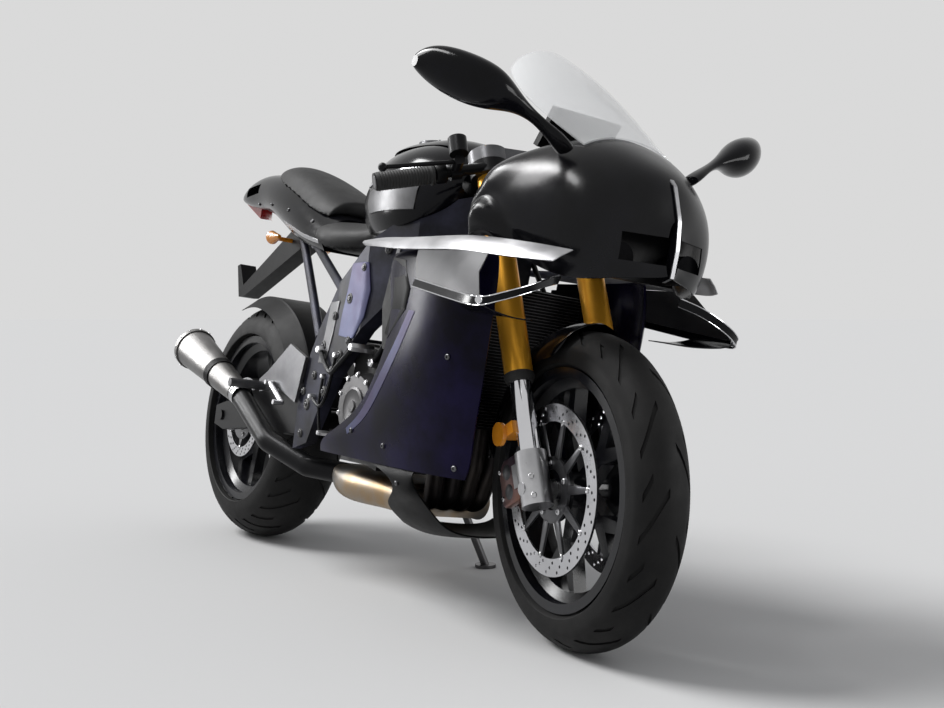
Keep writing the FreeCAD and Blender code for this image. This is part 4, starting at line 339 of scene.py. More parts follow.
class Paintbox:
    """Every finish of the machine, each made once."""

    LACQUER = Finish("black_lacquer", (0.002, 0.002, 0.0025), 0.14, gloss=0.14,
                     shade=(0.004, 0.004, 0.006), grain_size=0.014, grain_height=0.000012)
    FAIRING = Finish("violet_black_lacquer", (0.003, 0.0025, 0.007), 0.24, gloss=0.07,
                     shade=(0.008, 0.006, 0.028), grain_size=0.014, grain_height=0.000012)
    PLASTIC = Finish("satin_black_plastic", (0.005, 0.005, 0.0055), 0.42, gloss=0.08,
                     grain=Grain.MOULDED,
                     grain_size=0.0011, grain_height=0.00006)
    GREY_PANEL = Finish("grey_panel_paint", (0.05, 0.05, 0.053), 0.34, metallic=0.3,
                        gloss=0.22, shade=(0.035, 0.035, 0.038), grain_size=0.012,
                        grain_height=0.00001)
    FRAME = Finish("frame_paint", (0.007, 0.007, 0.009), 0.38, metallic=0.2, gloss=0.1,
                   grain=Grain.CAST, grain_size=0.0035, grain_height=0.00009,
                   shade=(0.03, 0.031, 0.05))
    CAST = Finish("cast_engine_skin", (0.02, 0.02, 0.021), 0.46, metallic=0.5, grain=Grain.CAST,
                  grain_size=0.0025, grain_height=0.00022, shade=(0.05, 0.049, 0.048))
    COVER = Finish("cover_paint", (0.045, 0.044, 0.046), 0.36, metallic=0.6, grain=Grain.CAST,
                   grain_size=0.002, grain_height=0.00007, gloss=0.3,
                   shade=(0.09, 0.088, 0.09))
    BLACK_METAL = Finish("black_satin_metal", (0.009, 0.009, 0.01), 0.34, metallic=0.3,
                         gloss=0.14, grain_size=0.006, grain_height=0.00001)
    # Heat-darkened steel of the headers, darkened further as painted shade where they sit behind
    # the fairing and belly pan
    BURNT_AND_SHADED = Finish("burnt_steel_and_painted_shade", (0.035, 0.03, 0.027), 0.42, metallic=0.85,
                   shade=(0.02, 0.018, 0.02), grain_size=0.008, grain_height=0.00003)
    MUFFLER = Finish("satin_titanium", (0.19, 0.187, 0.184), 0.4, metallic=1.0,
                     grain=Grain.BRUSHED, grain_size=0.0012, grain_height=0.00002,
                     shade=(0.13, 0.127, 0.124))
    CHAMBER = Finish("tinted_steel", (0.26, 0.25, 0.235), 0.38, metallic=1.0,
                     grain=Grain.BRUSHED, grain_size=0.0014, grain_height=0.00003,
                     shade=(0.3, 0.2, 0.1))
    # Violet-blue colour that paints the violet highlight on the fairing's crease and the bluish
    # reflection on the frame's spar
    VIOLET_SHEEN = Finish("painted_violet_sheen", (0.05, 0.06, 0.13), 0.36, metallic=0.3,
                          gloss=0.16, shade=(0.035, 0.026, 0.075), grain_size=0.012,
                          grain_height=0.00001)
    DARK_LENS = Finish("smoked_lens", (0.004, 0.004, 0.005), 0.7, gloss=0.03,
                       grain_size=0.02, grain_height=0.00001)
    NOSE = Finish("nose_lacquer", (0.002, 0.002, 0.0025), 0.22, gloss=0.2,
                  shade=(0.005, 0.005, 0.007), grain_size=0.014, grain_height=0.000012)
    FLANK = Finish("satin_flank_alloy", (0.13, 0.13, 0.134), 0.36, metallic=0.85, gloss=0.3,
                   shade=(0.07, 0.07, 0.073), grain_size=0.01, grain_height=0.00002)
    ALLOY = Finish("brushed_alloy", (0.5, 0.5, 0.51), 0.3, metallic=1.0, grain=Grain.BRUSHED,
                   grain_size=0.0012, grain_height=0.00003, shade=(0.36, 0.36, 0.37))
    DARK_ALLOY = Finish("dark_alloy", (0.07, 0.07, 0.075), 0.34, metallic=0.8,
                        grain=Grain.BRUSHED, grain_size=0.0014, grain_height=0.00004,
                        shade=(0.13, 0.13, 0.135))
    SILVER = Finish("silver_paint", (0.4, 0.4, 0.41), 0.32, metallic=0.8, gloss=0.4,
                    shade=(0.3, 0.3, 0.31), grain_size=0.014, grain_height=0.00001)
    STEEL = Finish("bright_steel", (0.56, 0.56, 0.57), 0.22, metallic=1.0, grain=Grain.BRUSHED,
                   grain_size=0.0009, grain_height=0.00002)
    CHROME = Finish("hard_chrome", (0.7, 0.7, 0.72), 0.08, metallic=1.0, mottle=0.06,
                    grain_size=0.02, grain_height=0.00001)
    GOLD = Finish("gold_anodised", (0.95, 0.45, 0.035), 0.32, metallic=0.6, mottle=0.06,
                  grain_size=0.012, grain_height=0.00001)
    COPPER = Finish("caliper_paint", (0.2, 0.1, 0.075), 0.34, metallic=0.7, grain=Grain.CAST,
                    grain_size=0.002, grain_height=0.00006, shade=(0.12, 0.09, 0.13))
    WHEEL = Finish("wheel_lacquer", (0.006, 0.006, 0.007), 0.22, gloss=0.3, grain_size=0.012,
                   shade=(0.01, 0.0105, 0.014), grain_height=0.000012)
    RUBBER = Finish("tyre_rubber", (0.007, 0.007, 0.0072), 0.6, gloss=0.12,
                    grain=Grain.MOULDED, grain_size=0.0016, grain_height=0.00012,
                    shade=(0.014, 0.0135, 0.0135))
    GRIP = Finish("grip_rubber", (0.015, 0.015, 0.015), 0.7, grain=Grain.MOULDED,
                  grain_size=0.0009, grain_height=0.00012)
    HIDE = Finish("seat_cover", (0.012, 0.012, 0.0125), 0.5, gloss=0.14, grain=Grain.HIDE,
                  grain_size=0.0035, grain_height=0.00022, shade=(0.022, 0.022, 0.0225))
    DISPLAY = Finish("display_glass", (0.01, 0.012, 0.016), 0.06, coat=1.0,
                     grain_size=0.05, grain_height=0.00001)
    MARKS = Finish("display_marks", (0.75, 0.77, 0.78), 0.4, mottle=0.08)
    MIRROR = Finish("mirror_glass", (0.8, 0.82, 0.84), 0.03, metallic=1.0, mottle=0.03,
                    grain_size=0.05, grain_height=0.00001)
    SCREEN = LensFinish("clear_screen", (0.98, 0.985, 0.99), 0.05, clearness=0.97,
                        grain_size=0.03, grain_height=0.00001, mottle=0.02)
    AMBER = LensFinish("amber_lens", (0.95, 0.36, 0.02), 0.14, clearness=0.2,
                       grain=Grain.MOULDED, grain_size=0.0028, grain_height=0.0005)
    RED = LensFinish("red_lens", (0.4, 0.008, 0.008), 0.12, clearness=0.2,
                     grain=Grain.MOULDED, grain_size=0.003, grain_height=0.0003)

    def __init__(self) -> None:
        """Starts with nothing made."""
        self.made: dict[str, bpy.types.Material] = {}

    def get(self, finish: Finish) -> bpy.types.Material:
        """The material of a finish, made at its first use."""
        if finish.name not in self.made:
            self.made[finish.name] = finish.material()
        return self.made[finish.name]


# Where the machine stands
@dataclass
class Stance:
    """Carries the upright machine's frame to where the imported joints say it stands."""

    joints: dict[str, dict]
    rear_radius: float = 0.326
    front_radius: float = 0.3
    rake: float = math.radians(24.0)
    trail: float = 0.102
    wheelbase: float = 1.405
    steer_turn: float = math.radians(-8.5)

    def __post_init__(self) -> None:
        """Works out the three matrices."""
        rear = self.joints["rear_wheel_spin"]
        across = Vector(rear["axis"]).normalized()
        forward = Vector((across.y, -across.x, 0.0)).normalized()
        high = forward.cross(across).normalized()
        hub = Vector(rear["pos_m"])
        turn = Matrix((forward, across, high)).transposed().to_4x4()
        self.upright = Matrix.Translation(hub - high * self.rear_radius) @ turn
        steering = self.joints["steering_turn"]
        pin = Vector(steering["pos_m"])
        axis = Vector(steering["axis"]).normalized()
        self.steered = (
            Matrix.Translation(pin)
            @ Matrix.Rotation(self.steer_turn, 4, axis)
            @ Matrix.Translation(-pin)
            @ self.upright
        )
        self.fork_offset = self.front_radius * math.sin(self.rake) - self.trail * math.cos(
            self.rake
        )
        lift = Vector((math.cos(self.rake), 0.0, math.sin(self.rake))) * self.fork_offset
        foot = Vector((self.wheelbase, 0.0, self.front_radius)) - lift
        self.fork = self.steered @ Matrix.Translation(foot) @ Matrix.Rotation(-self.rake, 4, "Y")
        self.front_hub = self.fork @ Matrix.Translation((self.fork_offset, 0.0, 0.0))
        self.rear_hub = self.upright @ Matrix.Translation((0.0, 0.0, self.rear_radius))


# Modelling moves
def deselect() -> None:
    """Leaves nothing selected."""
    if bpy.context.mode != "OBJECT":
        bpy.ops.object.mode_set(mode="OBJECT")
    bpy.ops.object.select_all(action="DESELECT")


def take(item: bpy.types.Object) -> None:
    """Selects one object alone and makes it active."""
    deselect()
    item.select_set(True)
    bpy.context.view_layer.objects.active = item


@contextmanager
def editing(item: bpy.types.Object) -> Iterator[None]:
    """Holds an object in edit mode with all its vertices selected."""
    take(item)
    bpy.ops.object.mode_set(mode="EDIT")
    bpy.ops.mesh.select_mode(type="VERT")
    bpy.ops.mesh.select_all(action="SELECT")
    try:
        yield
    finally:
        bpy.ops.object.mode_set(mode="OBJECT")


def pick_faces(item: bpy.types.Object, test: Test) -> None:
    """Selects, in edit mode, the faces whose middle and normal pass a test."""
    bpy.ops.mesh.select_all(action="DESELECT")
    bpy.ops.mesh.select_mode(type="FACE")
    shape = bmesh.from_edit_mesh(item.data)
    for face in shape.faces:
        face.select_set(test(face.calc_center_median(), face.normal))
    shape.select_flush_mode()
    bmesh.update_edit_mesh(item.data)


def apply_place(item: bpy.types.Object) -> None:
    """Puts an object's place into its mesh."""
    take(item)
    bpy.ops.object.transform_apply(location=True, rotation=True, scale=True)


def outward(item: bpy.types.Object) -> None:
    """Merges doubles and turns every face outwards."""
    with editing(item):
        bpy.ops.mesh.remove_doubles(threshold=MERGE_GAP)
        bpy.ops.mesh.normals_make_consistent(inside=False)


def stroke(points: Sequence[Vector]) -> bpy.types.Object:
    """A line of edges through points, extruded one vertex at a time."""
    deselect()
    bpy.ops.mesh.primitive_plane_add(size=0.01, location=points[0])
    item = bpy.context.active_object
    apply_place(item)
    with editing(item):
        bpy.ops.mesh.merge(type="CENTER")
        for start, end in zip(points, points[1:]):
            bpy.ops.mesh.extrude_vertices_move(
                TRANSFORM_OT_translate={"value": Vector(end) - Vector(start)}
            )
    return item


def plate(points: Sequence[Vector], thick: Vector, edge: float = 0.0) -> bpy.types.Object:
    """A flat outline filled and extruded by a vector.

    Args:
        points: Corners of the outline.
        thick: Way and length of the extrusion.
        edge: Width of the bevel on its edges.

    Returns:
        The solid plate.
    """
    item = stroke(points)
    with editing(item):
        bpy.ops.mesh.edge_face_add()
        bpy.ops.mesh.extrude_region_move(TRANSFORM_OT_translate={"value": thick})
    outward(item)
    if edge:
        bevel(item, edge)
    return item


def spin(item: bpy.types.Object, steps: int) -> None:
    """Turns a line of edges once round the z axis into a skin."""
    with editing(item):
        bpy.ops.mesh.spin(
            steps=steps, angle=math.tau, center=(0.0, 0.0, 0.0), axis=(0.0, 0.0, 1.0)
        )


def lathe(
    section: Sequence[tuple[float, float]], steps: int, place: Matrix | None = None
) -> bpy.types.Object:
    """Spins a closed section of (radius, height) points about the z axis of a place."""
    points = [Vector((radius, 0.0, height)) for radius, height in section]
    item = stroke(points + points[:1])
    spin(item, steps)
    if place is not None:
        item.matrix_world = place
        apply_place(item)
    outward(item)
    return item


def washer(inner: float, outer: float, low: float, high: float, steps: int) -> bpy.types.Object:
    """A flat ring about the z axis."""
    return lathe([(inner, low), (outer, low), (outer, high), (inner, high)], steps)


def rod(
    start: Vector, end: Vector, radius: float, sides: int = 16, ease: float = 0.12
) -> bpy.types.Object:
    """A round bar between two points, its ends eased by a share of its radius."""
    deselect()
    way = Vector(end) - Vector(start)
    bpy.ops.mesh.primitive_cylinder_add(vertices=sides, radius=radius, depth=way.length)
    item = bpy.context.active_object
    item.matrix_world = facing((Vector(start) + Vector(end)) / 2, way)
    apply_place(item)
    bevel(item, radius * ease)
    return item


def facing(spot: Vector, way: Vector) -> Matrix:
    """A place whose z axis looks along a way."""
    return Matrix.Translation(spot) @ Vector(way).to_track_quat("Z", "Y").to_matrix().to_4x4()


def add_modifier(item: bpy.types.Object, kind: str, **settings: object) -> None:
    """Adds a modifier with its settings and applies it."""
    take(item)
    made = item.modifiers.new(kind.title(), kind)
    for key, value in settings.items():
        setattr(made, key, value)
    bpy.ops.object.modifier_apply(modifier=made.name)


def bevel(item: bpy.types.Object, width: float, segments: int = 2) -> None:
    """Eases the edges that stand at an angle."""
    add_modifier(item, "BEVEL", width=width, segments=segments, limit_method="ANGLE")


def thicken(item: bpy.types.Object, thick: float, offset: float = 0.0) -> None:
    """Gives a skin a thickness."""
    add_modifier(item, "SOLIDIFY", thickness=thick, offset=offset)
    outward(item)


def round_spots(count: int, radius: float, phase: float = 0.0) -> list[Vector]:
    """Places evenly round the z axis, the first a share of a step past the x axis."""
    turns = [math.tau * (number + phase) / count for number in range(count)]
    return [Vector((math.cos(turn), math.sin(turn), 0.0)) * radius for turn in turns]


def tube(points: Sequence[Vector], radius: float, sides: int = 4) -> bpy.types.Object:
    """A round tube along a smooth line that the points steer."""
    item = stroke(points)
    take(item)
    bpy.ops.object.convert(target="CURVE")
    item = bpy.context.active_object
    bpy.ops.object.mode_set(mode="EDIT")
    bpy.ops.curve.select_all(action="SELECT")
    bpy.ops.curve.spline_type_set(type="NURBS")
    bpy.ops.object.mode_set(mode="OBJECT")
    line = item.data
    for spline in line.splines:
        spline.order_u = 3
        spline.use_endpoint_u = True
        spline.resolution_u = 6
    line.bevel_depth = radius
    line.bevel_resolution = sides
    line.use_fill_caps = True
    take(item)
    bpy.ops.object.convert(target="MESH")
    item = bpy.context.active_object
    outward(item)
    return item


def join(items: Sequence[bpy.types.Object]) -> bpy.types.Object:
    """Joins objects into the first."""
    deselect()
    for item in items:
        item.select_set(True)
    bpy.context.view_layer.objects.active = items[0]
    if len(items) > 1:
        bpy.ops.object.join()
    return bpy.context.active_object


def repeated(item: bpy.types.Object, places: Sequence[Matrix]) -> bpy.types.Object:
    """Copies an object to each place, every copy with its own mesh, and joins them."""
    made = []
    for place in places:
        copy = item.copy()
        copy.data = item.data.copy()
        bpy.context.scene.collection.objects.link(copy)
        copy.matrix_world = place @ item.matrix_world
        made.append(copy)
    bpy.data.objects.remove(item)
    whole = join(made)
    apply_place(whole)
    return whole


def carve(item: bpy.types.Object, tool: bpy.types.Object) -> None:
    """Takes a tool's volume out of an object."""
    add_modifier(item, "BOOLEAN", operation="DIFFERENCE", solver="EXACT", object=tool)
    bpy.data.objects.remove(tool)


def drill(
    item: bpy.types.Object, spots: Sequence[Vector], radius: float, half_deep: float = 0.01
) -> None:
    """Bores holes along z through a thin plate that lies at the origin."""
    reach = Vector((0.0, 0.0, half_deep))
    tool = rod(-reach, reach, radius, 8)
    carve(item, repeated(tool, [Matrix.Translation(spot) for spot in spots]))


def bolt_head(radius: float) -> bpy.types.Object:
    """A button head with a socket, standing on the xy plane."""
    tall = radius * 0.7
    eased_edge = radius * 0.22
    rim = radius * 0.3
    socket = radius * 0.4

    def faces_up(middle: Vector, normal: Vector) -> bool:
        """Whether a face looks along z."""
        return normal.z > 0.9

    deselect()
    bpy.ops.mesh.primitive_cylinder_add(
        vertices=12, radius=radius, depth=tall, location=(0.0, 0.0, tall / 2)
    )
    item = bpy.context.active_object
    apply_place(item)
    with editing(item):
        pick_faces(item, faces_up)
        bpy.ops.mesh.bevel(offset=eased_edge, segments=1, affect="EDGES")
        pick_faces(item, faces_up)
        bpy.ops.mesh.inset(thickness=rim)
        bpy.ops.mesh.extrude_region_move(TRANSFORM_OT_translate={"value": (0, 0, -socket)})
    return item


def eased(points: Sequence[Point], steps: int = 6) -> list[Vector]:
    """Points along a smooth line that passes through the given ones.

    Args:
        points: Places the line passes, in tenths of a metre.
        steps: Pieces between two of them.

    Returns:
        The line's points in metres.
    """
    spots = [Vector(point) * TENTH for point in points]
    line = [spots[0]]
    for index in range(len(spots) - 1):
        before = spots[max(index - 1, 0)]
        start = spots[index]
        end = spots[index + 1]
        after = spots[min(index + 2, len(spots) - 1)]
        for step in range(1, steps + 1):
            share = step / steps
            bend = start * 2 + (end - before) * share
            bend += (before * 2 - start * 5 + end * 4 - after) * share**2
            bend += (start * 3 - before - end * 3 + after) * share**3
            line.append(bend * 0.5)
    return line


def bridged(first: Sequence[Vector], second: Sequence[Vector]) -> bpy.types.Object:
    """A strip of faces between two lines."""
    item = join([stroke(first), stroke(second)])
    with editing(item):
        bpy.ops.mesh.bridge_edge_loops()
    return item


def skinned(sections: Sequence[Sequence[Vector]]) -> bpy.types.Object:
    """A skin of faces across lines laid one after another."""
    whole = join([bridged(first, second) for first, second in zip(sections, sections[1:])])
    outward(whole)
    return whole


class Dresser:
    """Shared moves of every sub-assembly: naming, dressing and riding."""

    def __init__(self, stance: Stance, box: Paintbox, frame: dict) -> None:
        """Keeps the stance, the finishes and the loaded frame."""
        self.stance = stance
        self.box = box
        self.nodes = frame["nodes"]

    def paint(self, node: str, finish: Finish) -> None:
        """Gives a CAD node one finish."""
        item = self.nodes[node]
        item.data.materials.clear()
        item.data.materials.append(self.box.get(finish))
        log.info("dressed %s in %s", node, finish.name)

    def keep(
        self,
        item: bpy.types.Object,
        name: str,
        body: str,
        finish: Finish,
        slot: str,
        place: Matrix | None = None,
        stands_for: Sequence[str] = (),
        smooth: float = 40.0,
    ) -> None:
        """Finishes a new piece.

        Args:
            item: The modelled object.
            name: Its name in the scene.
            body: The CAD body that carries it.
            finish: Its finish.
            slot: The record's material slot; not used.
            place: Matrix from the piece's modelling frame to the standing machine.
            stands_for: CAD nodes that it replaces.
            smooth: Angle up to which its shading is smooth, in degrees.
        """
        item.matrix_world = (self.stance.upright if place is None else place) @ item.matrix_world
        apply_place(item)
        bpy.ops.object.shade_smooth_by_angle(angle=math.radians(smooth))
        item.name = name
        item.data.name = name
        item.data.materials.clear()
        item.data.materials.append(self.box.get(finish))
        for face in item.data.polygons:
            face.material_index = 0
        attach(item, body)
        if stands_for:
            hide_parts(*stands_for)
        log.info("built %s, %d faces", name, len(item.data.polygons))

    def on_skin(
        self, names: Sequence[str], spot: Vector, way: Vector
    ) -> tuple[Vector, Vector] | None:
        """Where a line first meets one of some CAD nodes.

        Args:
            names: The nodes.
            spot: Start of the line in the upright frame.
            way: Its direction there.

        Returns:
            The place and the outward normal in the upright frame, or nothing.
        """
        carry = self.stance.upright
        start = carry @ spot
        aim = (carry.to_3x3() @ way).normalized()
        found = []
        for name in names:
            hit, place, normal, _ = self.nodes[name].ray_cast(start, aim)
            if hit:
                found.append(((place - start).length, place, normal))
        if not found:
            return None
        _, place, normal = min(found, key=lambda entry: entry[0])
        if normal.dot(aim) > 0:
            normal = -normal
        return carry.inverted() @ place, carry.to_3x3().inverted() @ normal

    def met_from_side(
        self, names: Sequence[str], spots: Sequence[Point], side: int
    ) -> list[tuple[Vector, Vector]]:
        """Where sideways lines meet some CAD nodes.

        Args:
            names: The nodes.
            spots: Starts of the lines beside the machine, in tenths of a metre, y as a
                distance from its middle plane.
            side: Minus one for the right side and one for the left.

        Returns:
            Place and outward normal of every line that meets one.
        """
        way = Vector((0, -side, 0))
        hits = [self.on_skin(names, Vector((x, y * side, z)) * TENTH, way) for x, y, z in spots]
        return [met for met in hits if met]

    def draped(
        self,
        names: Sequence[str],
        rows: Sequence[Sequence[Point]],
        way: Vector,
        thick: float,
        rise: float = 0.0,
        steps: int = 4,
        reach: float = 0.34,
    ) -> bpy.types.Object:
        """A thin panel that follows CAD nodes from one side.

        Args:
            names: The nodes it lies on.
            rows: Lines of places in tenths of a metre, outside the nodes.
            way: Direction from those places to the nodes, in the upright frame.
            thick: The panel's thickness.
            rise: Gap under it.
            steps: Spans between two places of a line.
            reach: How far from its place a hit still counts.

        Returns:
            The panel in the upright frame, without the columns that miss.
        """
        places = [eased(row, steps) for row in rows]
        met = []
        for line in places:
            hits = []
            for spot in line:
                found = self.on_skin(names, spot, way)
                near = found is not None and (found[0] - spot).dot(way) < reach
                hits.append(found[0] if near else None)
            met.append(hits)
        columns = [number for number in range(len(places[0]))
                   if all(hits[number] is not None for hits in met)]
        lines = [[hits[number] - way * (rise + thick / 2) for number in columns]
                 for hits in met]
        item = skinned(lines)
        thicken(item, thick)
        bevel(item, thick * 0.3, 1)
        return item

    def fit(
        self,
        items: Sequence[bpy.types.Object],
        name: str,
        finish: Finish,
        slot: str,
        stands_for: Sequence[str] = (),
    ) -> None:
        """Joins objects of the upright frame into one piece on the chassis."""
        self.keep(join(items), name, "chassis", finish, slot, stands_for=stands_for)

    def bolts(
        self,
        name: str,
        body: str,
        spots: Sequence[tuple[Vector, Vector]],
        radius: float,
        finish: Finish,
        place: Matrix | None = None,
    ) -> None:
        """Bolt heads of one size at (spot, way) pairs."""
        head = bolt_head(radius)
        whole = repeated(head, [facing(spot, way) for spot, way in spots])
        self.keep(whole, name, body, finish, "satin_steel", place)

    def screws(
        self,
        name: str,
        node: str,
        spots: Sequence[Point],
        radius: float,
        sides: Sequence[int] = SIDES,
    ) -> None:
        """Dark screws where sideways lines meet a CAD node of the chassis."""
        found = [met for side in sides for met in self.met_from_side([node], spots, side)]
        if found:
            self.bolts(name, "chassis", found, radius, Paintbox.DARK_ALLOY)


# Wheels
class WheelEnd(Enum):
    """Which wheel."""

    FRONT = "front"
    REAR = "rear"


@dataclass
class Wheel:
    """Tyre with a cut tread, drilled discs and valve of one wheel."""

    dresser: Dresser
    end: WheelEnd
    radius: float
    crown: float
    shoulder_half: float
    bead_half: float
    steps: int
    groove_every: int
    arm_count: int
    bead_radius: float = 0.216
    flange_radius: float = 0.228
    flange_step: float = 0.004
    rim_gap: float = 0.0004
    ridge_set: float = 0.0012
    ridge_low: float = 0.0015
    ridge_high: float = 0.004
    wall_share: float = 0.45
    crown_steps: int = 16
    inset: float = 0.0007
    groove_deep: float = 0.0035
    sweep: float = 0.42
    sweep_power: float = 1.5
    sweep_from: float = 0.24
    groove_from: float = 0.12
    groove_to: float = 0.86
    short_from: float = 0.55
    disc_half: float = 0.0025
    hole_radius: float = 0.0032
    hole_rows: int = 3
    hole_groups: int = 24
    hole_skew: float = 0.3
    hub_inner: float = 0.038
    hub_outer: float = 0.062
    arm_root: float = 0.058
    arm_root_half: float = 0.009
    arm_tip_half: float = 0.005
    arm_lap: float = 0.003
    button_section: Section = (
        (CORE, 0.0002), (0.0055, 0.0002), (0.0055, 0.0014), (0.0035, 0.002),
        (0.0035, 0.0012), (CORE, 0.0012))
    button_lap: float = 0.001
    bolt_count: int = 5
    bolt_circle: float = 0.05
    valve_reach: float = 0.19

    def place(self) -> Matrix:
        """The hub's place, its z axis along the axle."""
        stance = self.dresser.stance
        hub = stance.front_hub if self.end is WheelEnd.FRONT else stance.rear_hub
        return hub @ Matrix.Rotation(-math.pi / 2, 4, "X")

    def section(self) -> list[tuple[float, float]]:
        """Tyre section as (radius, side) points from bead to bead."""
        ring = self.radius - self.inset - self.crown
        tilt = math.asin(self.shoulder_half / self.crown)
        shoulder = ring + self.crown * math.cos(tilt)
        wall = self.bead_radius + (shoulder - self.bead_radius) * self.wall_share
        side = [
            (self.bead_radius, self.bead_half),
            (self.flange_radius + self.rim_gap, self.bead_half),
            (self.flange_radius + self.flange_step, self.bead_half + self.flange_step),
            (wall, self.shoulder_half - self.ridge_set),
            (wall + self.ridge_low, self.shoulder_half),
            (wall + self.ridge_high, self.shoulder_half),
        ]
        arc = []
        for step in range(self.crown_steps + 1):
            angle = tilt - 2 * tilt * step / self.crown_steps
            arc.append((ring + self.crown * math.cos(angle), self.crown * math.sin(angle)))
        return side + arc + [(radius, -across) for radius, across in reversed(side)]

    def build_tyre(self) -> None:
        """Spins the section with its points swept back, then sinks the tread grooves."""
        half = self.shoulder_half
        points = []
        for radius, across in self.section():
            swept = 0.0 if radius < self.sweep_from else self.sweep
            turn = swept * (abs(across) / half) ** self.sweep_power
            points.append(Vector((radius * math.cos(turn), radius * math.sin(turn), across)))
        item = stroke(points + points[:1])
        spin(item, self.steps)
        outward(item)
        pitch = math.tau / self.steps

        def in_groove(middle: Vector, normal: Vector) -> bool:
            """Whether a face of the tread lies in a long or a short groove."""
            reach = math.hypot(middle.x, middle.y)
            share = abs(middle.z) / half
            if not self.groove_from < share < self.groove_to or reach < self.radius - self.crown:
                return False
            angle = math.atan2(middle.y, middle.x) - self.sweep * share**self.sweep_power
            angle += pitch * self.groove_every / 2 if middle.z < 0 else 0.0
            place = int(math.floor(angle / pitch)) % self.groove_every
            return place == 0 or (place == self.groove_every // 2 and share > self.short_from)

        with editing(item):
            pick_faces(item, in_groove)
            bpy.ops.mesh.extrude_region_shrink_fatten(
                TRANSFORM_OT_shrink_fatten={"value": -self.groove_deep}
            )
        word = self.end.value
        self.dresser.keep(
            item, word + "_tyre_treaded", word + "_wheel", Paintbox.RUBBER, "tyre",
            self.place(), [word + "_tyre"], 35.0,
        )

    def build_disc(
        self, name: str, node: str, radius: float, band: float, sides: Sequence[float]
    ) -> None:
        """Drilled ring, its carrier and the buttons between them.

        Args:
            name: Start of the pieces' names.
            node: The CAD node that the ring stands for.
            radius: The ring's outer radius.
            band: Its width.
            sides: Places of the discs along the axle.
        """
        half = self.disc_half
        inner = radius - band
        place = self.place()
        body = self.end.value + "_wheel"
        shifts = [Matrix.Translation((0, 0, side)) for side in sides]
        ring = washer(inner, radius, -half, half, 96)
        holes = []
        for row in range(self.hole_rows):
            reach = inner + band * (row + 0.8) / (self.hole_rows + 0.6)
            holes += round_spots(self.hole_groups, reach, row * self.hole_skew)
        drill(ring, holes, self.hole_radius)
        turned = TurnedFinish(
            name + "_steel", (0.6, 0.6, 0.62), 0.2, metallic=1.0, grain_size=0.0007,
            grain_height=0.00004, mottle=0.15, centre=tuple(place.translation),
            axis=tuple(place.to_3x3().col[2]))
        self.dresser.keep(repeated(ring, shifts), name + "_rings", body, turned, "satin_steel",
                          place, [node])
        carrier = [washer(self.hub_inner, self.hub_outer, -half, half, 48)]
        outs = round_spots(self.arm_count, 1.0, 0.5)
        low = Vector((0, 0, -half))
        for out in outs:
            wide = Vector((-out.y, out.x, 0.0))
            root = out * self.arm_root + low
            tip = out * (inner + self.arm_lap) + low
            carrier.append(plate(
                [root - wide * self.arm_root_half, tip - wide * self.arm_tip_half,
                 tip + wide * self.arm_tip_half, root + wide * self.arm_root_half],
                Vector((0, 0, half * 2)), 0.0006))
        self.dresser.keep(repeated(join(carrier), shifts), name + "_carriers", body,
                          Paintbox.DARK_ALLOY, "bare_alloy", place)
        button = lathe([(reach, half + rise) for reach, rise in self.button_section], 14)
        spots = []
        bolts = []
        for side in sides:
            shift = Vector((0, 0, side))
            flip = Matrix.Rotation(math.pi, 4, "X") if side < 0 else Matrix.Identity(4)
            way = Vector((0, 0, math.copysign(1.0, side)))
            spots += [Matrix.Translation(out * (inner + self.button_lap) + shift) @ flip
                      for out in outs]
            bolts += [(spot + shift + way * half, way)
                      for spot in round_spots(self.bolt_count, self.bolt_circle)]
        self.dresser.keep(repeated(button, spots), name + "_buttons", body, Paintbox.STEEL,
                          "satin_steel", place)
        self.dresser.bolts(name + "_bolts", body, bolts, 0.0062, Paintbox.STEEL, place)

    def build_valve(self) -> None:
        """Valve stem with its collar."""
        word = self.end.value
        root = Vector((self.valve_reach, 0.0, self.bead_half * 0.25))
        stem = rod(root, root - Vector((0.034, 0.0, -0.012)), 0.0034, 12)
        collar = rod(root + Vector((0.004, 0, 0)), root - Vector((0.006, 0, 0)), 0.0062, 12)
        self.dresser.keep(join([stem, collar]), word + "_valve", word + "_wheel",
                          Paintbox.STEEL, "satin_steel", self.place())


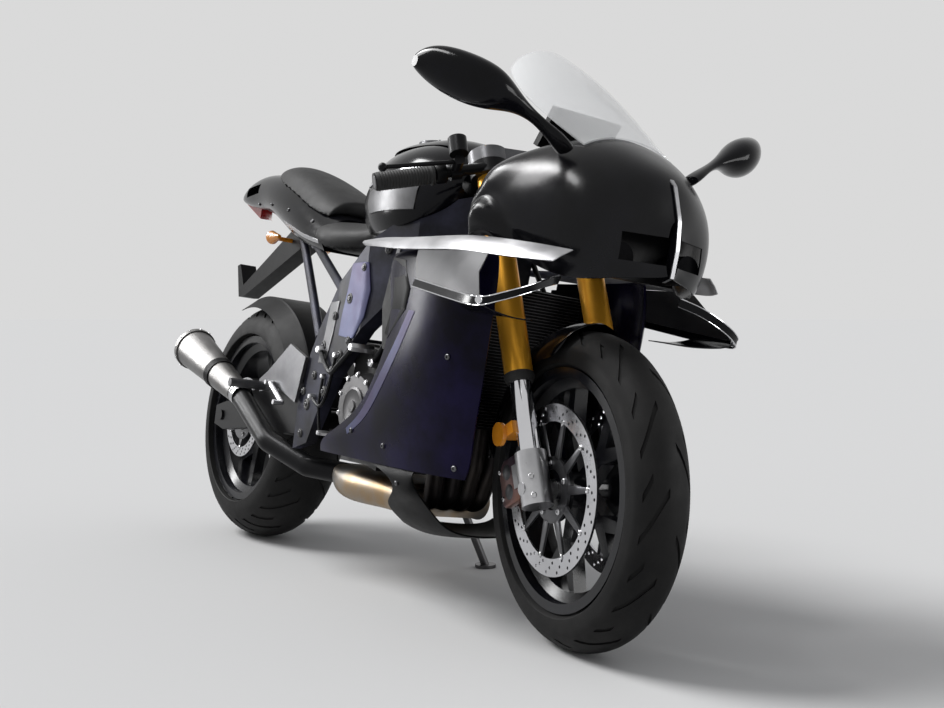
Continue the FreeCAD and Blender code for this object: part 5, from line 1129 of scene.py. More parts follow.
# Fork, brakes and hand controls
@dataclass
class ForkLegs:
    """Details on the fork: seals, caps, calipers, grips and switches."""

    dresser: Dresser
    leg_spread: float = 0.1
    tube_radius: float = 0.028
    slider_radius: float = 0.0215
    tube_low: float = 0.223
    top: float = 0.724
    cap_section: Section = (
        (CORE, 0.0), (0.0235, 0.0), (0.0235, 0.004), (0.014, 0.005), (0.014, 0.009),
        (0.008, 0.01), (0.008, 0.013), (CORE, 0.013))
    pinch_spot: Point = (0.024, 0.018, 0.018)
    pinch_way: Point = (0.75, 0.66, 0.0)
    caliper_back: float = 0.116
    caliper_rise: float = 0.052
    caliper_outline: Section = (
        (-0.037, -0.04), (-0.028, -0.046), (0.026, -0.046), (0.036, -0.038), (0.037, 0.034),
        (0.028, 0.045), (-0.012, 0.046), (-0.03, 0.034), (-0.037, 0.018))
    caliper_gap: float = 0.0085
    caliper_half: float = 0.0165
    bridge_outline: Section = (
        (-0.036, -0.03), (-0.024, -0.03), (-0.024, 0.024), (-0.036, 0.02))
    bridge_half: float = 0.009
    piston_rise: float = 0.02
    piston_radius: float = 0.0155
    disc_offset: float = 0.064
    bar_end: float = 0.345
    ring_middle: float = 0.6727
    sweep: float = math.radians(14.0)
    drop: float = math.radians(8.0)
    grip_start: Section = ((0.0172, 0.0), (0.0215, 0.0), (0.0215, 0.005), (0.0186, 0.007))
    grip_rib: Section = ((0.0178, 0.0), (0.019, 0.0012), (0.019, 0.0038))
    grip_stop: Section = ((0.0178, 0.119), (0.0172, 0.119))
    rib_count: int = 18
    rib_start: float = 0.01
    rib_run: float = 0.105
    grip_length: float = 0.121
    end_section: Section = (
        (CORE, 0.0), (0.015, 0.0), (0.016, 0.002), (0.016, 0.012), (0.012, 0.016),
        (CORE, 0.016))
    switch_section: Section = (
        (0.0114, 0.0), (0.018, 0.0), (0.0205, 0.003), (0.0205, 0.02), (0.018, 0.023),
        (0.0114, 0.023))
    switch_back: float = 0.027
    button_rise: float = 0.019

    def keep(
        self,
        items: Sequence[bpy.types.Object],
        name: str,
        finish: Finish,
        slot: str,
        stands_for: Sequence[str] = (),
        smooth: float = 40.0,
    ) -> None:
        """Joins objects of the fork's frame into one steered piece."""
        self.dresser.keep(join(items), name, "steering", finish, slot,
                          self.dresser.stance.fork, stands_for, smooth)

    def bolts(self, name: str, spots: Sequence[tuple[Vector, Vector]], radius: float) -> None:
        """Bolt heads on the steered parts."""
        self.dresser.bolts(name, "steering", spots, radius, Paintbox.STEEL,
                           self.dresser.stance.fork)

    def build_legs(self) -> None:
        """Dust seals, adjuster caps and pinch bolts."""
        reach = self.dresser.stance.fork_offset
        low = self.tube_low
        thin = self.slider_radius
        wide = self.tube_radius
        seal = [(thin + 0.0003, low - 0.012), (thin + 0.004, low - 0.012),
                (wide + 0.001, low - 0.004), (wide + 0.0016, low), (wide + 0.0016, low + 0.005),
                (wide + 0.0003, low + 0.006), (thin + 0.0003, low - 0.0003)]
        cap = [(radius, self.top + rise) for radius, rise in self.cap_section]
        ahead, outside, height = self.pinch_spot
        seals = []
        caps = []
        pinch = []
        for side in SIDES:
            at = Matrix.Translation((reach, self.leg_spread * side, 0.0))
            seals.append(lathe(seal, 32, at))
            caps.append(lathe(cap, 6, at))
            way = Vector((self.pinch_way[0], side * self.pinch_way[1], self.pinch_way[2]))
            for rise in (-height, height):
                spot = Vector((reach + ahead, side * (self.leg_spread + outside), rise))
                pinch.append((spot, way))
        self.keep(seals, "fork_dust_seals", Paintbox.GRIP, "tyre")
        self.keep(caps, "fork_adjusters", Paintbox.DARK_ALLOY, "bare_alloy")
        self.bolts("fork_pinch_bolts", pinch, 0.0055)

    def build_calipers(self) -> None:
        """Radial calipers: two machined halves with piston bosses and bridge bolts."""
        reach = self.dresser.stance.fork_offset - self.caliper_back
        middle = Vector((reach, 0.0, self.caliper_rise))
        halves = []
        pistons = []
        bolts = []
        for side in SIDES:
            for face in (-1, 1):
                start = self.disc_offset * side + face * self.caliper_gap
                points = [middle + Vector((x, start, z)) for x, z in self.caliper_outline]
                halves.append(plate(points, Vector((0, face * self.caliper_half, 0)), 0.004))
                for rise in (-self.piston_rise, self.piston_rise):
                    spot = middle + Vector((-0.004, start + face * 0.0155, rise))
                    pistons.append(rod(spot, spot + Vector((0, face * 0.0016, 0)),
                                       self.piston_radius, 24))
                    bolts.append((spot + Vector((-0.026, 0, rise * 0.35)), Vector((0, face, 0))))
            inner = self.disc_offset * side - self.bridge_half
            bridge = [middle + Vector((x, inner, z)) for x, z in self.bridge_outline]
            halves.append(plate(bridge, Vector((0, self.bridge_half * 2, 0)), 0.002))
        self.keep(halves, "caliper_bodies", Paintbox.COPPER, "bare_alloy", ["front_calipers"])
        self.keep(pistons, "caliper_pistons", Paintbox.DARK_ALLOY, "bare_alloy")
        self.bolts("caliper_bolts", bolts, 0.0048)

    def handle(self, side: int) -> tuple[Vector, Vector]:
        """Root and unit way of a handlebar."""
        root = Vector((self.dresser.stance.fork_offset + self.tube_radius,
                       self.leg_spread * side, self.ring_middle))
        way = Vector((-math.sin(self.sweep), side * math.cos(self.sweep),
                      -math.sin(self.drop))).normalized()
        return root, way

    def build_controls(self) -> None:
        """Ribbed grips, bar ends and switch boxes."""
        section = list(self.grip_start)
        for rib in range(self.rib_count):
            at = self.rib_start + self.rib_run * rib / self.rib_count
            section += [(radius, at + rise) for radius, rise in self.grip_rib]
        section += self.grip_stop
        grips = []
        ends = []
        switches = []
        buttons = []
        for side in SIDES:
            root, way = self.handle(side)
            run = (self.bar_end - self.leg_spread) / abs(way.y)
            start = run - self.grip_length
            grips.append(lathe(section, 28, facing(root + way * start, way)))
            ends.append(lathe(self.end_section, 24, facing(root + way * (run - 0.0156), way)))
            box_root = root + way * (start - self.switch_back)
            switches.append(lathe(self.switch_section, 16, facing(box_root, way)))
            back_up = Vector((-0.7, 0, 0.7))
            inward = (back_up - way * back_up.dot(way)).normalized()
            for step in range(2):
                spot = box_root + way * (0.006 + 0.011 * step) + inward * self.button_rise
                buttons.append(rod(spot, spot + inward * 0.0045, 0.0042, 12))
        self.keep(grips, "grip_sleeves", Paintbox.GRIP, "tyre", smooth=30.0)
        self.keep(ends, "bar_ends", Paintbox.DARK_ALLOY, "bare_alloy")
        self.keep(switches, "switch_boxes", Paintbox.PLASTIC, "satin_black")
        self.keep(buttons, "switch_buttons", Paintbox.GREY_PANEL, "satin_black")


@dataclass
class FrontGuard:
    """Front mudguard: a crowned shell over the tyre with side plates to the fork shoes."""

    dresser: Dresser
    front_angle: float = math.radians(60.0)
    rear_angle: float = math.radians(152.0)
    rows: int = 18
    wall: float = 0.0028
    section: Section = (
        (0.3135, 0.0), (0.3115, 0.018), (0.304, 0.037), (0.289, 0.054), (0.266, 0.066),
        (0.246, 0.0695))
    skirt_from: int = 3
    least_depth: float = 0.42
    depth_gain: float = 1.5
    depth_rate: float = 1.25
    depth_power: float = 0.8
    front_tip: tuple[float, float] = (0.25, 5.0)
    rear_tip: tuple[float, float] = (0.45, 4.0)
    tip_pull: float = 0.1
    least_wide: float = 0.72
    plate_outline: Section = (
        (-0.03, 0.02), (-0.012, 0.02), (0.0, 0.075), (-0.006, 0.18), (-0.02, 0.262),
        (-0.058, 0.262), (-0.07, 0.2), (-0.052, 0.1))
    plate_side: float = 0.0725
    plate_thick: float = 0.004
    bolt_spots: Section = ((-0.02, 0.04), (-0.036, 0.235))

    def row(self, share: float) -> list[Vector]:
        """One section, its skirts deepest beside the fork legs."""
        angle = self.front_angle + (self.rear_angle - self.front_angle) * share
        swell = math.sin(math.pi * min(share * self.depth_rate, 1.0))
        depth = min(1.0, self.least_depth + self.depth_gain * swell**self.depth_power)
        front, front_rate = self.front_tip
        rear, rear_rate = self.rear_tip
        tip = min(1.0, front + share * front_rate) * min(1.0, rear + (1.0 - share) * rear_rate)
        pull = (1.0 - tip) * self.tip_pull * (1 if share < 0.5 else -1)
        wide = self.least_wide + (1.0 - self.least_wide) * depth
        brow = self.section[self.skirt_from - 1][0]
        half = []
        for number, (radius, across) in enumerate(self.section):
            reach = radius if number < self.skirt_from else brow + (radius - brow) * depth
            lean = angle + pull * number / (len(self.section) - 1)
            half.append(Vector((math.cos(lean) * reach, across * wide, math.sin(lean) * reach)))
        return [Vector((point.x, -point.y, point.z)) for point in reversed(half)] + half[1:]

    def build(self) -> None:
        """Builds the shell, its plates and bolts."""
        stance = self.dresser.stance
        shell = skinned([self.row(step / self.rows) for step in range(self.rows + 1)])
        thicken(shell, self.wall, 1.0)
        add_modifier(shell, "SUBSURF", levels=1, render_levels=1)
        self.dresser.keep(shell, "front_guard_shell", "steering", Paintbox.LACQUER,
                          "gloss_black", stance.front_hub, ["front_mudguard"], 50.0)
        plates = []
        spots = []
        for side in SIDES:
            points = [Vector((x, side * self.plate_side, z)) for x, z in self.plate_outline]
            plates.append(plate(points, Vector((0, side * self.plate_thick, 0)), 0.0012))
            face = side * (self.plate_side + self.plate_thick)
            spots += [(Vector((x, face, z)), Vector((0, side, 0))) for x, z in self.bolt_spots]
        self.dresser.keep(join(plates), "front_guard_plates", "steering", Paintbox.PLASTIC,
                          "gloss_black", stance.front_hub)
        self.dresser.bolts("front_guard_bolts", "steering", spots, 0.0052, Paintbox.STEEL,
                           stance.front_hub)


# Bodywork trim
@dataclass
class SideWings:
    """Stand-off side panels: silver band, bare grey plate, open lip, black fin and a stud."""

    dresser: Dresser
    wall: float = 0.0026
    band_top: tuple[Point, ...] = (
        (8.05, 2.05, 7.66), (9.4, 2.3, 7.62), (10.75, 2.39, 7.55), (12.8, 2.32, 7.5),
        (14.3, 2.07, 7.35), (15.05, 1.66, 7.25))
    band_middle: tuple[Point, ...] = (
        (8.1, 2.13, 7.6), (9.4, 2.4, 7.52), (10.75, 2.54, 7.42), (12.8, 2.53, 7.34),
        (14.25, 2.3, 7.2), (15.0, 1.86, 7.12))
    band_low: tuple[Point, ...] = (
        (8.2, 2.1, 7.54), (9.4, 2.41, 7.41), (10.75, 2.6, 7.28), (12.8, 2.62, 7.18),
        (14.2, 2.42, 7.04), (14.95, 2.0, 7.0))
    plate_high: tuple[Point, ...] = (
        (11.35, 2.6, 7.24), (12.2, 2.62, 7.2), (13.0, 2.6, 7.16), (13.7, 2.52, 7.1))
    plate_middle: tuple[Point, ...] = (
        (11.5, 2.72, 6.95), (12.3, 2.78, 6.9), (13.15, 2.84, 6.82), (13.95, 2.84, 6.7))
    plate_low: tuple[Point, ...] = (
        (11.65, 2.76, 6.62), (12.4, 2.85, 6.5), (13.4, 2.99, 6.35), (14.4, 3.07, 6.22))
    lip: tuple[Point, ...] = (
        (11.66, 2.78, 6.64), (12.4, 2.88, 6.52), (13.4, 3.02, 6.36), (14.42, 3.1, 6.22),
        (14.72, 2.8, 6.34), (14.78, 2.3, 6.54), (14.68, 1.85, 6.72), (14.51, 1.45, 6.84))
    lip_drop: Point = (-0.06, 0.015, -0.15)
    edge_radius: float = 0.0012
    edge_shift: Point = (0.001, 0.0015, 0.0)
    stud_section: Section = (
        (CORE, -0.005), (0.0065, -0.004), (0.0085, 0.0), (0.0065, 0.004), (CORE, 0.005))
    stud_spot: Point = (1.443, 0.3095, 0.617)
    fin_front: tuple[Point, ...] = (
        (14.43, 3.08, 6.14), (14.38, 2.8, 6.04), (14.2, 2.2, 5.98), (13.95, 1.6, 6.0))
    fin_rear: tuple[Point, ...] = (
        (13.4, 3.0, 6.24), (13.3, 2.75, 6.14), (13.15, 2.45, 6.08), (12.95, 2.15, 6.08))

    def line(self, points: Sequence[Point], side: int, steps: int = 5) -> list[Vector]:
        """A smooth line on one side of the machine."""
        return [Vector((spot.x, spot.y * side, spot.z)) for spot in eased(points, steps)]

    def shell(self, rows: Sequence[Sequence[Point]], side: int, steps: int = 5
              ) -> bpy.types.Object:
        """A thin wall across several lines."""
        item = skinned([self.line(row, side, steps) for row in rows])
        thicken(item, self.wall)
        bevel(item, 0.0006, 1)
        return item

    def build(self) -> None:
        """Builds both sides."""
        bands = []
        plates = []
        blacks = []
        brights = []
        lip_low = tuple(
            tuple(part + fall for part, fall in zip(spot, self.lip_drop)) for spot in self.lip)
        for side in SIDES:
            bands.append(self.shell([self.band_top, self.band_middle, self.band_low], side))
            plates.append(self.shell([self.plate_high, self.plate_middle, self.plate_low], side))
            blacks.append(self.shell([self.lip, lip_low], side, 4))
            blacks.append(self.shell([self.fin_front, self.fin_rear], side))
            shift_x, shift_y, _ = self.edge_shift
            for edge in (self.lip, lip_low):
                points = [spot + Vector((shift_x, shift_y * side, 0))
                          for spot in self.line(edge, side, 4)]
                brights.append(tube(points, self.edge_radius, 2))
            x, y, z = self.stud_spot
            brights.append(lathe(self.stud_section, 20,
                                 facing(Vector((x, y * side, z)), Vector((0.4, side, 0)))))
        fit = self.dresser.fit
        fit(bands, "wing_bands", Paintbox.SILVER, "gloss_black", ["side_wings"])
        fit(plates, "wing_plates", Paintbox.GREY_PANEL, "gloss_black")
        fit(blacks, "wing_fins", Paintbox.LACQUER, "gloss_black")
        fit(brights, "wing_edge_lines", Paintbox.CHROME, "chrome")


@dataclass
class NoseKeelHighlight:
    """Silver keel strip down the nose: a painted highlight on its centre edge."""

    dresser: Dresser
    keel: tuple[Point, ...] = (
        (15.5, 0.0, 8.78), (15.66, 0.0, 8.4), (15.77, 0.0, 7.9), (15.83, 0.0, 7.4),
        (15.83, 0.0, 6.98))
    half: float = 0.0042
    thick: float = 0.002
    lift: float = 0.0012
    start: float = 0.1

    def build(self) -> None:
        """Builds the strip along the nose's centre line."""
        spine = []
        for spot in eased(self.keel, 5):
            met = self.dresser.on_skin(
                ["front_cowl"], Vector((spot.x + self.start, self.lift, spot.z)),
                Vector((-1, 0, 0)))
            if met:
                spine.append(met[0] + Vector((self.lift, 0, 0)))
        if len(spine) < 3:
            return
        side = Vector((0, self.half, 0))
        strip = bridged([spot - side for spot in spine], [spot + side for spot in spine])
        with editing(strip):
            bpy.ops.mesh.subdivide(number_cuts=2)
        thicken(strip, self.thick)
        # The silver strip paints the highlight along the nose's centre edge
        self.dresser.fit([strip], "nose_keel_highlight", Paintbox.SILVER, "gloss_black")


@dataclass
class BodyTrim:
    """Screws and draped panels of the fairings, frame, tank, screen and belly."""

    dresser: Dresser
    fairing_screws: tuple[Point, ...] = (
        (10.1, 4.0, 3.3), (12.4, 4.0, 3.1), (9.6, 4.0, 5.9), (12.3, 4.0, 5.2),
        (8.6, 4.0, 3.5))
    screen_screws: tuple[Point, ...] = ((11.9, 2.2, 10.1), (12.6, 2.1, 10.0))
    belly_screws: tuple[Point, ...] = ((9.4, 2.4, 2.6), (10.6, 2.4, 2.6), (11.6, 2.4, 2.8))
    panel_start: float = 3.6
    filler_count: int = 8
    filler_circle: float = 0.052
    filler_start: float = 0.06

    def build_fairing(self) -> None:
        """Fairing screws, dark duct panels and violet strips of painted highlight along the
        crease.
        """
        for word, side in zip(("right", "left"), SIDES):
            self.dresser.screws("fairing_screws_" + word, "side_fairing_" + word,
                                self.fairing_screws, 0.0058, [side])
        skins = ["side_fairing_left", "side_fairing_right", "inner_ducts"]
        self.panels("fairing_duct_panels", skins, [
            [(9.2, 7.15), (9.8, 7.2), (10.5, 7.1)],
            [(9.5, 6.7), (10.2, 6.65), (10.9, 6.5)],
            [(9.55, 6.3), (10.2, 6.2), (10.8, 6.1)],
            [(9.2, 5.7), (9.6, 5.6), (10.0, 5.5)]],
            Paintbox.PLASTIC)
        # Violet strips along the fairing's crease: a painted highlight where light catches the
        # crease
        self.panels("fairing_crease_highlights", skins, [
            [(11.2, 6.05), (10.6, 5.2), (9.9, 4.4), (9.2, 3.8), (8.4, 3.4)],
            [(10.95, 6.08), (10.3, 5.25), (9.6, 4.5), (8.95, 3.9), (8.3, 3.52)]],
            Paintbox.VIOLET_SHEEN, 0.001)

    def build_frame(self) -> None:
        """Violet panels of painted reflection, satin rib plates and bright edge beads on the
        frame's beams.
        """
        beams = ["frame"]
        # Violet panels on the frame's spar: a painted bluish reflection, not a real cover
        self.panels("frame_violet_reflections", beams, [
            [(7.35, 7.2), (7.9, 7.22), (8.5, 7.15)],
            [(7.25, 6.6), (8.0, 6.6), (8.75, 6.55)],
            [(7.1, 6.0), (7.9, 6.0), (8.6, 5.95)],
            [(7.05, 5.55), (7.6, 5.5), (8.1, 5.5)]],
            Paintbox.VIOLET_SHEEN, 0.003)
        self.panels("frame_rib_plates", beams, [
            [(6.2, 6.3), (6.9, 6.35)],
            [(6.05, 5.6), (6.75, 5.6)],
            [(5.85, 4.9), (6.5, 4.9)]],
            Paintbox.FLANK, 0.002)
        self.panels("frame_edge_beads", beams, [
            [(8.95, 7.6), (8.85, 6.9), (8.75, 6.3)],
            [(8.85, 7.6), (8.75, 6.9), (8.65, 6.3)]],
            Paintbox.ALLOY, 0.002)

    def panels(self, name: str, names: Sequence[str], table: Sequence[Sequence[tuple]],
               finish: Finish, thick: float = 0.0016, rise: float = 0.0) -> None:
        """The same draped panel on both sides, from lines of (x, z) places."""
        items = []
        for side in SIDES:
            rows = [[(x, self.panel_start * side, z) for x, z in row] for row in table]
            items.append(self.dresser.draped(names, rows, Vector((0, -side, 0)), thick, rise, 8))
        self.dresser.fit(items, name, finish, "bare_alloy")

    def build_tank(self) -> None:
        """Satin flank panels, chrome bands of painted highlight and the filler's screws."""
        tank = ["fuel_tank", "tank_cover"]
        self.panels("tank_flank_panels", tank, [
            [(7.5, 8.85), (8.2, 8.97), (8.9, 9.05), (9.5, 9.09)],
            [(7.4, 8.6), (8.15, 8.68), (8.85, 8.72), (9.45, 8.75)],
            [(7.5, 8.35), (8.15, 8.35), (8.8, 8.35), (9.35, 8.35)]],
            Paintbox.FLANK, 0.003, 0.0005)
        # Chrome bands along the tank's top edges stand in for its long highlights: painted
        # highlight
        self.panels("tank_highlight_bands", tank, [
            [(7.2, 9.05), (8.4, 9.24), (9.6, 9.34), (10.8, 9.34), (11.4, 9.28)],
            [(7.2, 8.98), (8.4, 9.16), (9.6, 9.25), (10.8, 9.24), (11.4, 9.19)]],
            Paintbox.CHROME, 0.0036)
        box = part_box("fuel_cap")
        top = max(corner[2] for corner in box)
        middle = sum((Vector(corner) for corner in box), Vector()) / 2
        high = self.dresser.stance.upright.inverted() @ Vector((middle.x, middle.y, top))
        spots = []
        for spot in round_spots(self.filler_count, self.filler_circle):
            start = high + spot + Vector((0, 0, self.filler_start))
            met = self.dresser.on_skin(["fuel_cap"], start, Vector((0, 0, -1)))
            if met:
                spots.append(met)
        self.dresser.bolts("filler_screws", "chassis", spots, 0.0042, Paintbox.STEEL)

    def build(self) -> None:
        """Builds all trim."""
        self.build_fairing()
        self.build_frame()
        self.build_tank()
        self.dresser.screws("screen_screws", "windscreen", self.screen_screws, 0.0046)
        self.dresser.screws("belly_screws", "belly_pan", self.belly_screws, 0.0052)


# Engine, exhaust and drive
@dataclass
class EngineDress:
    """Cover screws, case fittings, formed pipes and radiator fins."""

    dresser: Dresser
    covers: tuple[tuple[float, float, int, float, int], ...] = (
        (0.795, 0.4, -1, 0.071, 10), (0.905, 0.37, -1, 0.035, 5), (0.86, 0.4, 1, 0.067, 9))
    cover_start: float = 0.3
    cover_face: float = 0.179
    boss_section: Section = ((CORE, 0.0), (0.0085, 0.0), (0.0075, 0.003), (CORE, 0.003))
    boss_rise: float = 0.003
    plug_shares: Section = (
        (0.62, 0.0), (0.62, 0.0035), (0.54, 0.005), (0.5, 0.0035), (0.2, 0.0035),
        (0.18, 0.007))
    fittings: tuple[Point, ...] = (
        (6.25, 3.15, 0.011), (6.45, 3.7, 0.009), (6.6, 4.25, 0.012), (6.9, 4.75, 0.009),
        (7.2, 5.1, 0.011), (7.55, 5.45, 0.009), (7.9, 5.05, 0.013), (8.3, 5.3, 0.009),
        (7.0, 3.05, 0.012), (7.4, 2.95, 0.009), (7.15, 3.6, 0.008), (8.7, 5.5, 0.012),
        (8.9, 6.1, 0.01), (9.3, 5.6, 0.009), (5.5, 3.2, 0.01), (5.7, 3.9, 0.013),
        (5.95, 4.6, 0.01), (6.3, 5.3, 0.012), (5.4, 4.2, 0.009), (6.75, 6.0, 0.01),
        (7.4, 6.4, 0.012), (7.9, 7.1, 0.009), (8.6, 7.5, 0.01))
    fitting_start: float = 3.0
    fitting_level: float = 0.75
    fitting_shares: Section = ((1.15, -0.001), (1.0, 0.004), (0.72, 0.0048), (0.66, 0.0035))
    fitting_rise: float = 0.0035
    pipes: tuple[tuple[float, Section], ...] = (
        (0.0055, ((6.3, 5.2), (6.9, 4.7), (7.3, 4.9), (7.9, 5.3))),
        (0.004, ((6.1, 4.1), (6.6, 3.9), (6.9, 4.3), (7.1, 5.1))),
        (0.0045, ((7.3, 3.1), (7.7, 3.0), (8.3, 3.1), (8.6, 3.4))),
        (0.006, ((8.1, 5.0), (8.5, 5.4), (8.7, 5.9))),
        (0.0035, ((6.7, 3.3), (6.5, 3.9), (6.55, 4.6))))
    pipe_start: float = 3.4
    pipe_gap: float = 0.001
    union_reach: float = 0.1
    fin_low: Point = (1.0635, -0.165, 0.392)
    fin_high: Point = (1.1235, -0.165, 0.68)
    fin_wide: float = 0.33
    fin_thick: float = 0.0014
    fin_count: int = 46

    def scaled(self, shares: Section, radius: float) -> list[tuple[float, float]]:
        """A turned section from shares of a radius, closed at the axis at both ends."""
        section = [(radius * share, height) for share, height in shares]
        return [(CORE, section[0][1])] + section + [(CORE, section[-1][1])]

    def build_cover_screws(self) -> None:
        """Bosses and screws round the engine covers, and a plug in the middle of each."""
        bosses = []
        bolts = []
        for x, z, side, radius, count in self.covers:
            out = Vector((0, side, 0))
            for spot in round_spots(count, radius, 0.4):
                start = Vector((x + spot.x, side * self.cover_start, z + spot.y))
                met = self.dresser.on_skin(["engine_covers"], start, -out)
                if met:
                    bosses.append(lathe(self.boss_section, 14, facing(met[0], out)))
                    bolts.append((met[0] + out * self.boss_rise, out))
            centre = Vector((x, side * self.cover_face, z))
            bosses.append(lathe(self.scaled(self.plug_shares, radius), 36, facing(centre, out)))
        self.dresser.fit(bosses, "cover_bosses", Paintbox.COVER, "cast_metal")
        self.dresser.bolts("cover_screws", "chassis", bolts, 0.0052, Paintbox.STEEL)

    def build_case_fittings(self) -> None:
        """Small bosses and screws on the crankcase, the frame and the swingarm's pivot."""
        nodes = ["engine_block", "frame", "swingarm"]
        bosses = []
        bolts = []
        for x, z, radius in self.fittings:
            for side in SIDES:
                for spot, normal in self.dresser.met_from_side(
                        nodes, [(x, self.fitting_start, z)], side):
                    if abs(normal.y) >= self.fitting_level:
                        bosses.append(lathe(self.scaled(self.fitting_shares, radius), 18,
                                            facing(spot, normal)))
                        bolts.append((spot + normal * self.fitting_rise, normal))
        self.dresser.fit(bosses, "case_bosses", Paintbox.CAST, "cast_metal")
        self.dresser.bolts("case_screws", "chassis", bolts, 0.005, Paintbox.DARK_ALLOY)

    def build_pipes(self) -> None:
        """Formed steel pipes along the cases, each between two bright unions."""
        nodes = ["engine_block", "engine_covers", "frame"]
        pipes = []
        unions = []
        for radius, line in self.pipes:
            for side in SIDES:
                way = Vector((0, -side, 0))
                spots = []
                for spot in eased([(x, self.pipe_start * side, z) for x, z in line], 4):
                    met = self.dresser.on_skin(nodes, spot, way)
                    if met:
                        spots.append(met[0] - way * (radius + self.pipe_gap))
                if len(spots) < 4:
                    continue
                outer = max(abs(spot.y) for spot in spots)
                spots = [Vector((spot.x, side * outer, spot.z)) for spot in spots]
                pipes.append(tube(spots, radius, 3))
                for end in (spots[0], spots[-1]):
                    met = self.dresser.on_skin(nodes, end - way * self.union_reach, way)
                    foot = met[0] if met else end
                    height = abs(end.y - foot.y) + radius
                    union = ((1.9, 0.0), (1.9, height), (1.4, height + 0.003))
                    unions.append(lathe(self.scaled(union, radius), 6, facing(foot, -way)))
        self.dresser.fit(pipes, "case_pipes", Paintbox.BLACK_METAL, "satin_black")
        self.dresser.fit(unions, "case_unions", Paintbox.ALLOY, "cast_metal")

    def build_fins(self) -> None:
        """Radiator core: a stack of thin fins between the tanks."""
        low = Vector(self.fin_low)
        high = Vector(self.fin_high)
        out = Vector((high.z - low.z, 0, low.x - high.x)).normalized()
        fin = stroke([low + out * 0.0005, low + out * 0.0035])
        with editing(fin):
            bpy.ops.mesh.extrude_region_move(
                TRANSFORM_OT_translate={"value": (0, self.fin_wide, 0)})
        add_modifier(fin, "SOLIDIFY", thickness=self.fin_thick, offset=0.0)
        places = [Matrix.Translation((high - low) * (number / (self.fin_count - 1)))
                  for number in range(self.fin_count)]
        self.dresser.fit([repeated(fin, places)], "radiator_fins", Paintbox.DARK_ALLOY,
                         "bare_alloy")

    def build(self) -> None:
        """Builds all engine details."""
        self.build_cover_screws()
        self.build_case_fittings()
        self.build_pipes()
        self.build_fins()


@dataclass
class ExhaustDress:
    """Muffler mouth with its drilled plate and sleeve, rivets, strap and pipe clamp."""

    dresser: Dresser
    front: Point = (0.19, -0.195, 0.395)
    rear: Point = (-0.115, -0.212, 0.5)
    front_radius: float = 0.03
    rear_radius: float = 0.056
    mouth_inner: float = 0.014
    mouth_outer: float = 0.0365
    plate_thick: float = 0.002
    hole_rings: tuple[tuple[float, int], ...] = ((0.02, 14), (0.0265, 18), (0.0325, 22))
    hole_radius: float = 0.0024
    sleeve_section: Section = (
        (0.0125, -0.035), (0.0145, -0.035), (0.0145, 0.012), (0.016, 0.0145),
        (0.0125, 0.0145))
    plate_sink: float = 0.014
    sleeve_sink: float = 0.016
    rivet_count: int = 12
    rivet_circle: float = 0.0584
    rivet_sink: float = 0.0065
    strap_share: float = 0.36
    strap_gap: float = 0.0005
    strap_thick: float = 0.0022
    strap_wide: float = 0.022
    clamp_section: Section = (
        (0.0275, -0.011), (0.0305, -0.011), (0.0305, -0.007), (0.0292, -0.005),
        (0.0292, 0.005), (0.0305, 0.007), (0.0305, 0.011), (0.0275, 0.011))
    clamp_ahead: float = 0.018

    def build(self) -> None:
        """Builds the exhaust's fittings."""
        front = Vector(self.front)
        rear = Vector(self.rear)
        way = (rear - front).normalized()
        fit = self.dresser.fit
        mouth = washer(self.mouth_inner, self.mouth_outer, 0.0, self.plate_thick, 48)
        holes = [spot for reach, count in self.hole_rings for spot in round_spots(count, reach)]
        drill(mouth, holes, self.hole_radius)
        mouth.matrix_world = facing(rear - way * self.plate_sink, way)
        fit([mouth], "muffler_mouth_plate", Paintbox.STEEL, "satin_steel")
        sleeve = lathe(self.sleeve_section, 32, facing(rear - way * self.sleeve_sink, way))
        fit([sleeve], "muffler_mouth_sleeve", Paintbox.STEEL, "satin_steel")
        middle = rear - way * self.rivet_sink
        turned = facing(middle, way).to_3x3()
        rivets = []
        for spot in round_spots(self.rivet_count, 1.0):
            out = turned @ spot
            rivets.append((middle + out * self.rivet_circle, out))
        self.dresser.bolts("muffler_rivets", "chassis", rivets, 0.003, Paintbox.STEEL)
        length = (rear - front).length
        flare = self.rear_radius - self.front_radius
        radius = self.front_radius + flare * self.strap_share + self.strap_gap
        wide_radius = radius + flare / length * self.strap_wide
        strap = lathe([(radius, 0.0), (radius + self.strap_thick, 0.0),
                       (wide_radius + self.strap_thick, self.strap_wide),
                       (wide_radius, self.strap_wide)], 48,
                      facing(front + way * (length * self.strap_share), way))
        fit([strap], "muffler_strap", Paintbox.PLASTIC, "satin_black")
        clamp = lathe(self.clamp_section, 40, facing(front - way * self.clamp_ahead, way))
        fit([clamp], "pipe_clamp", Paintbox.STEEL, "satin_steel")


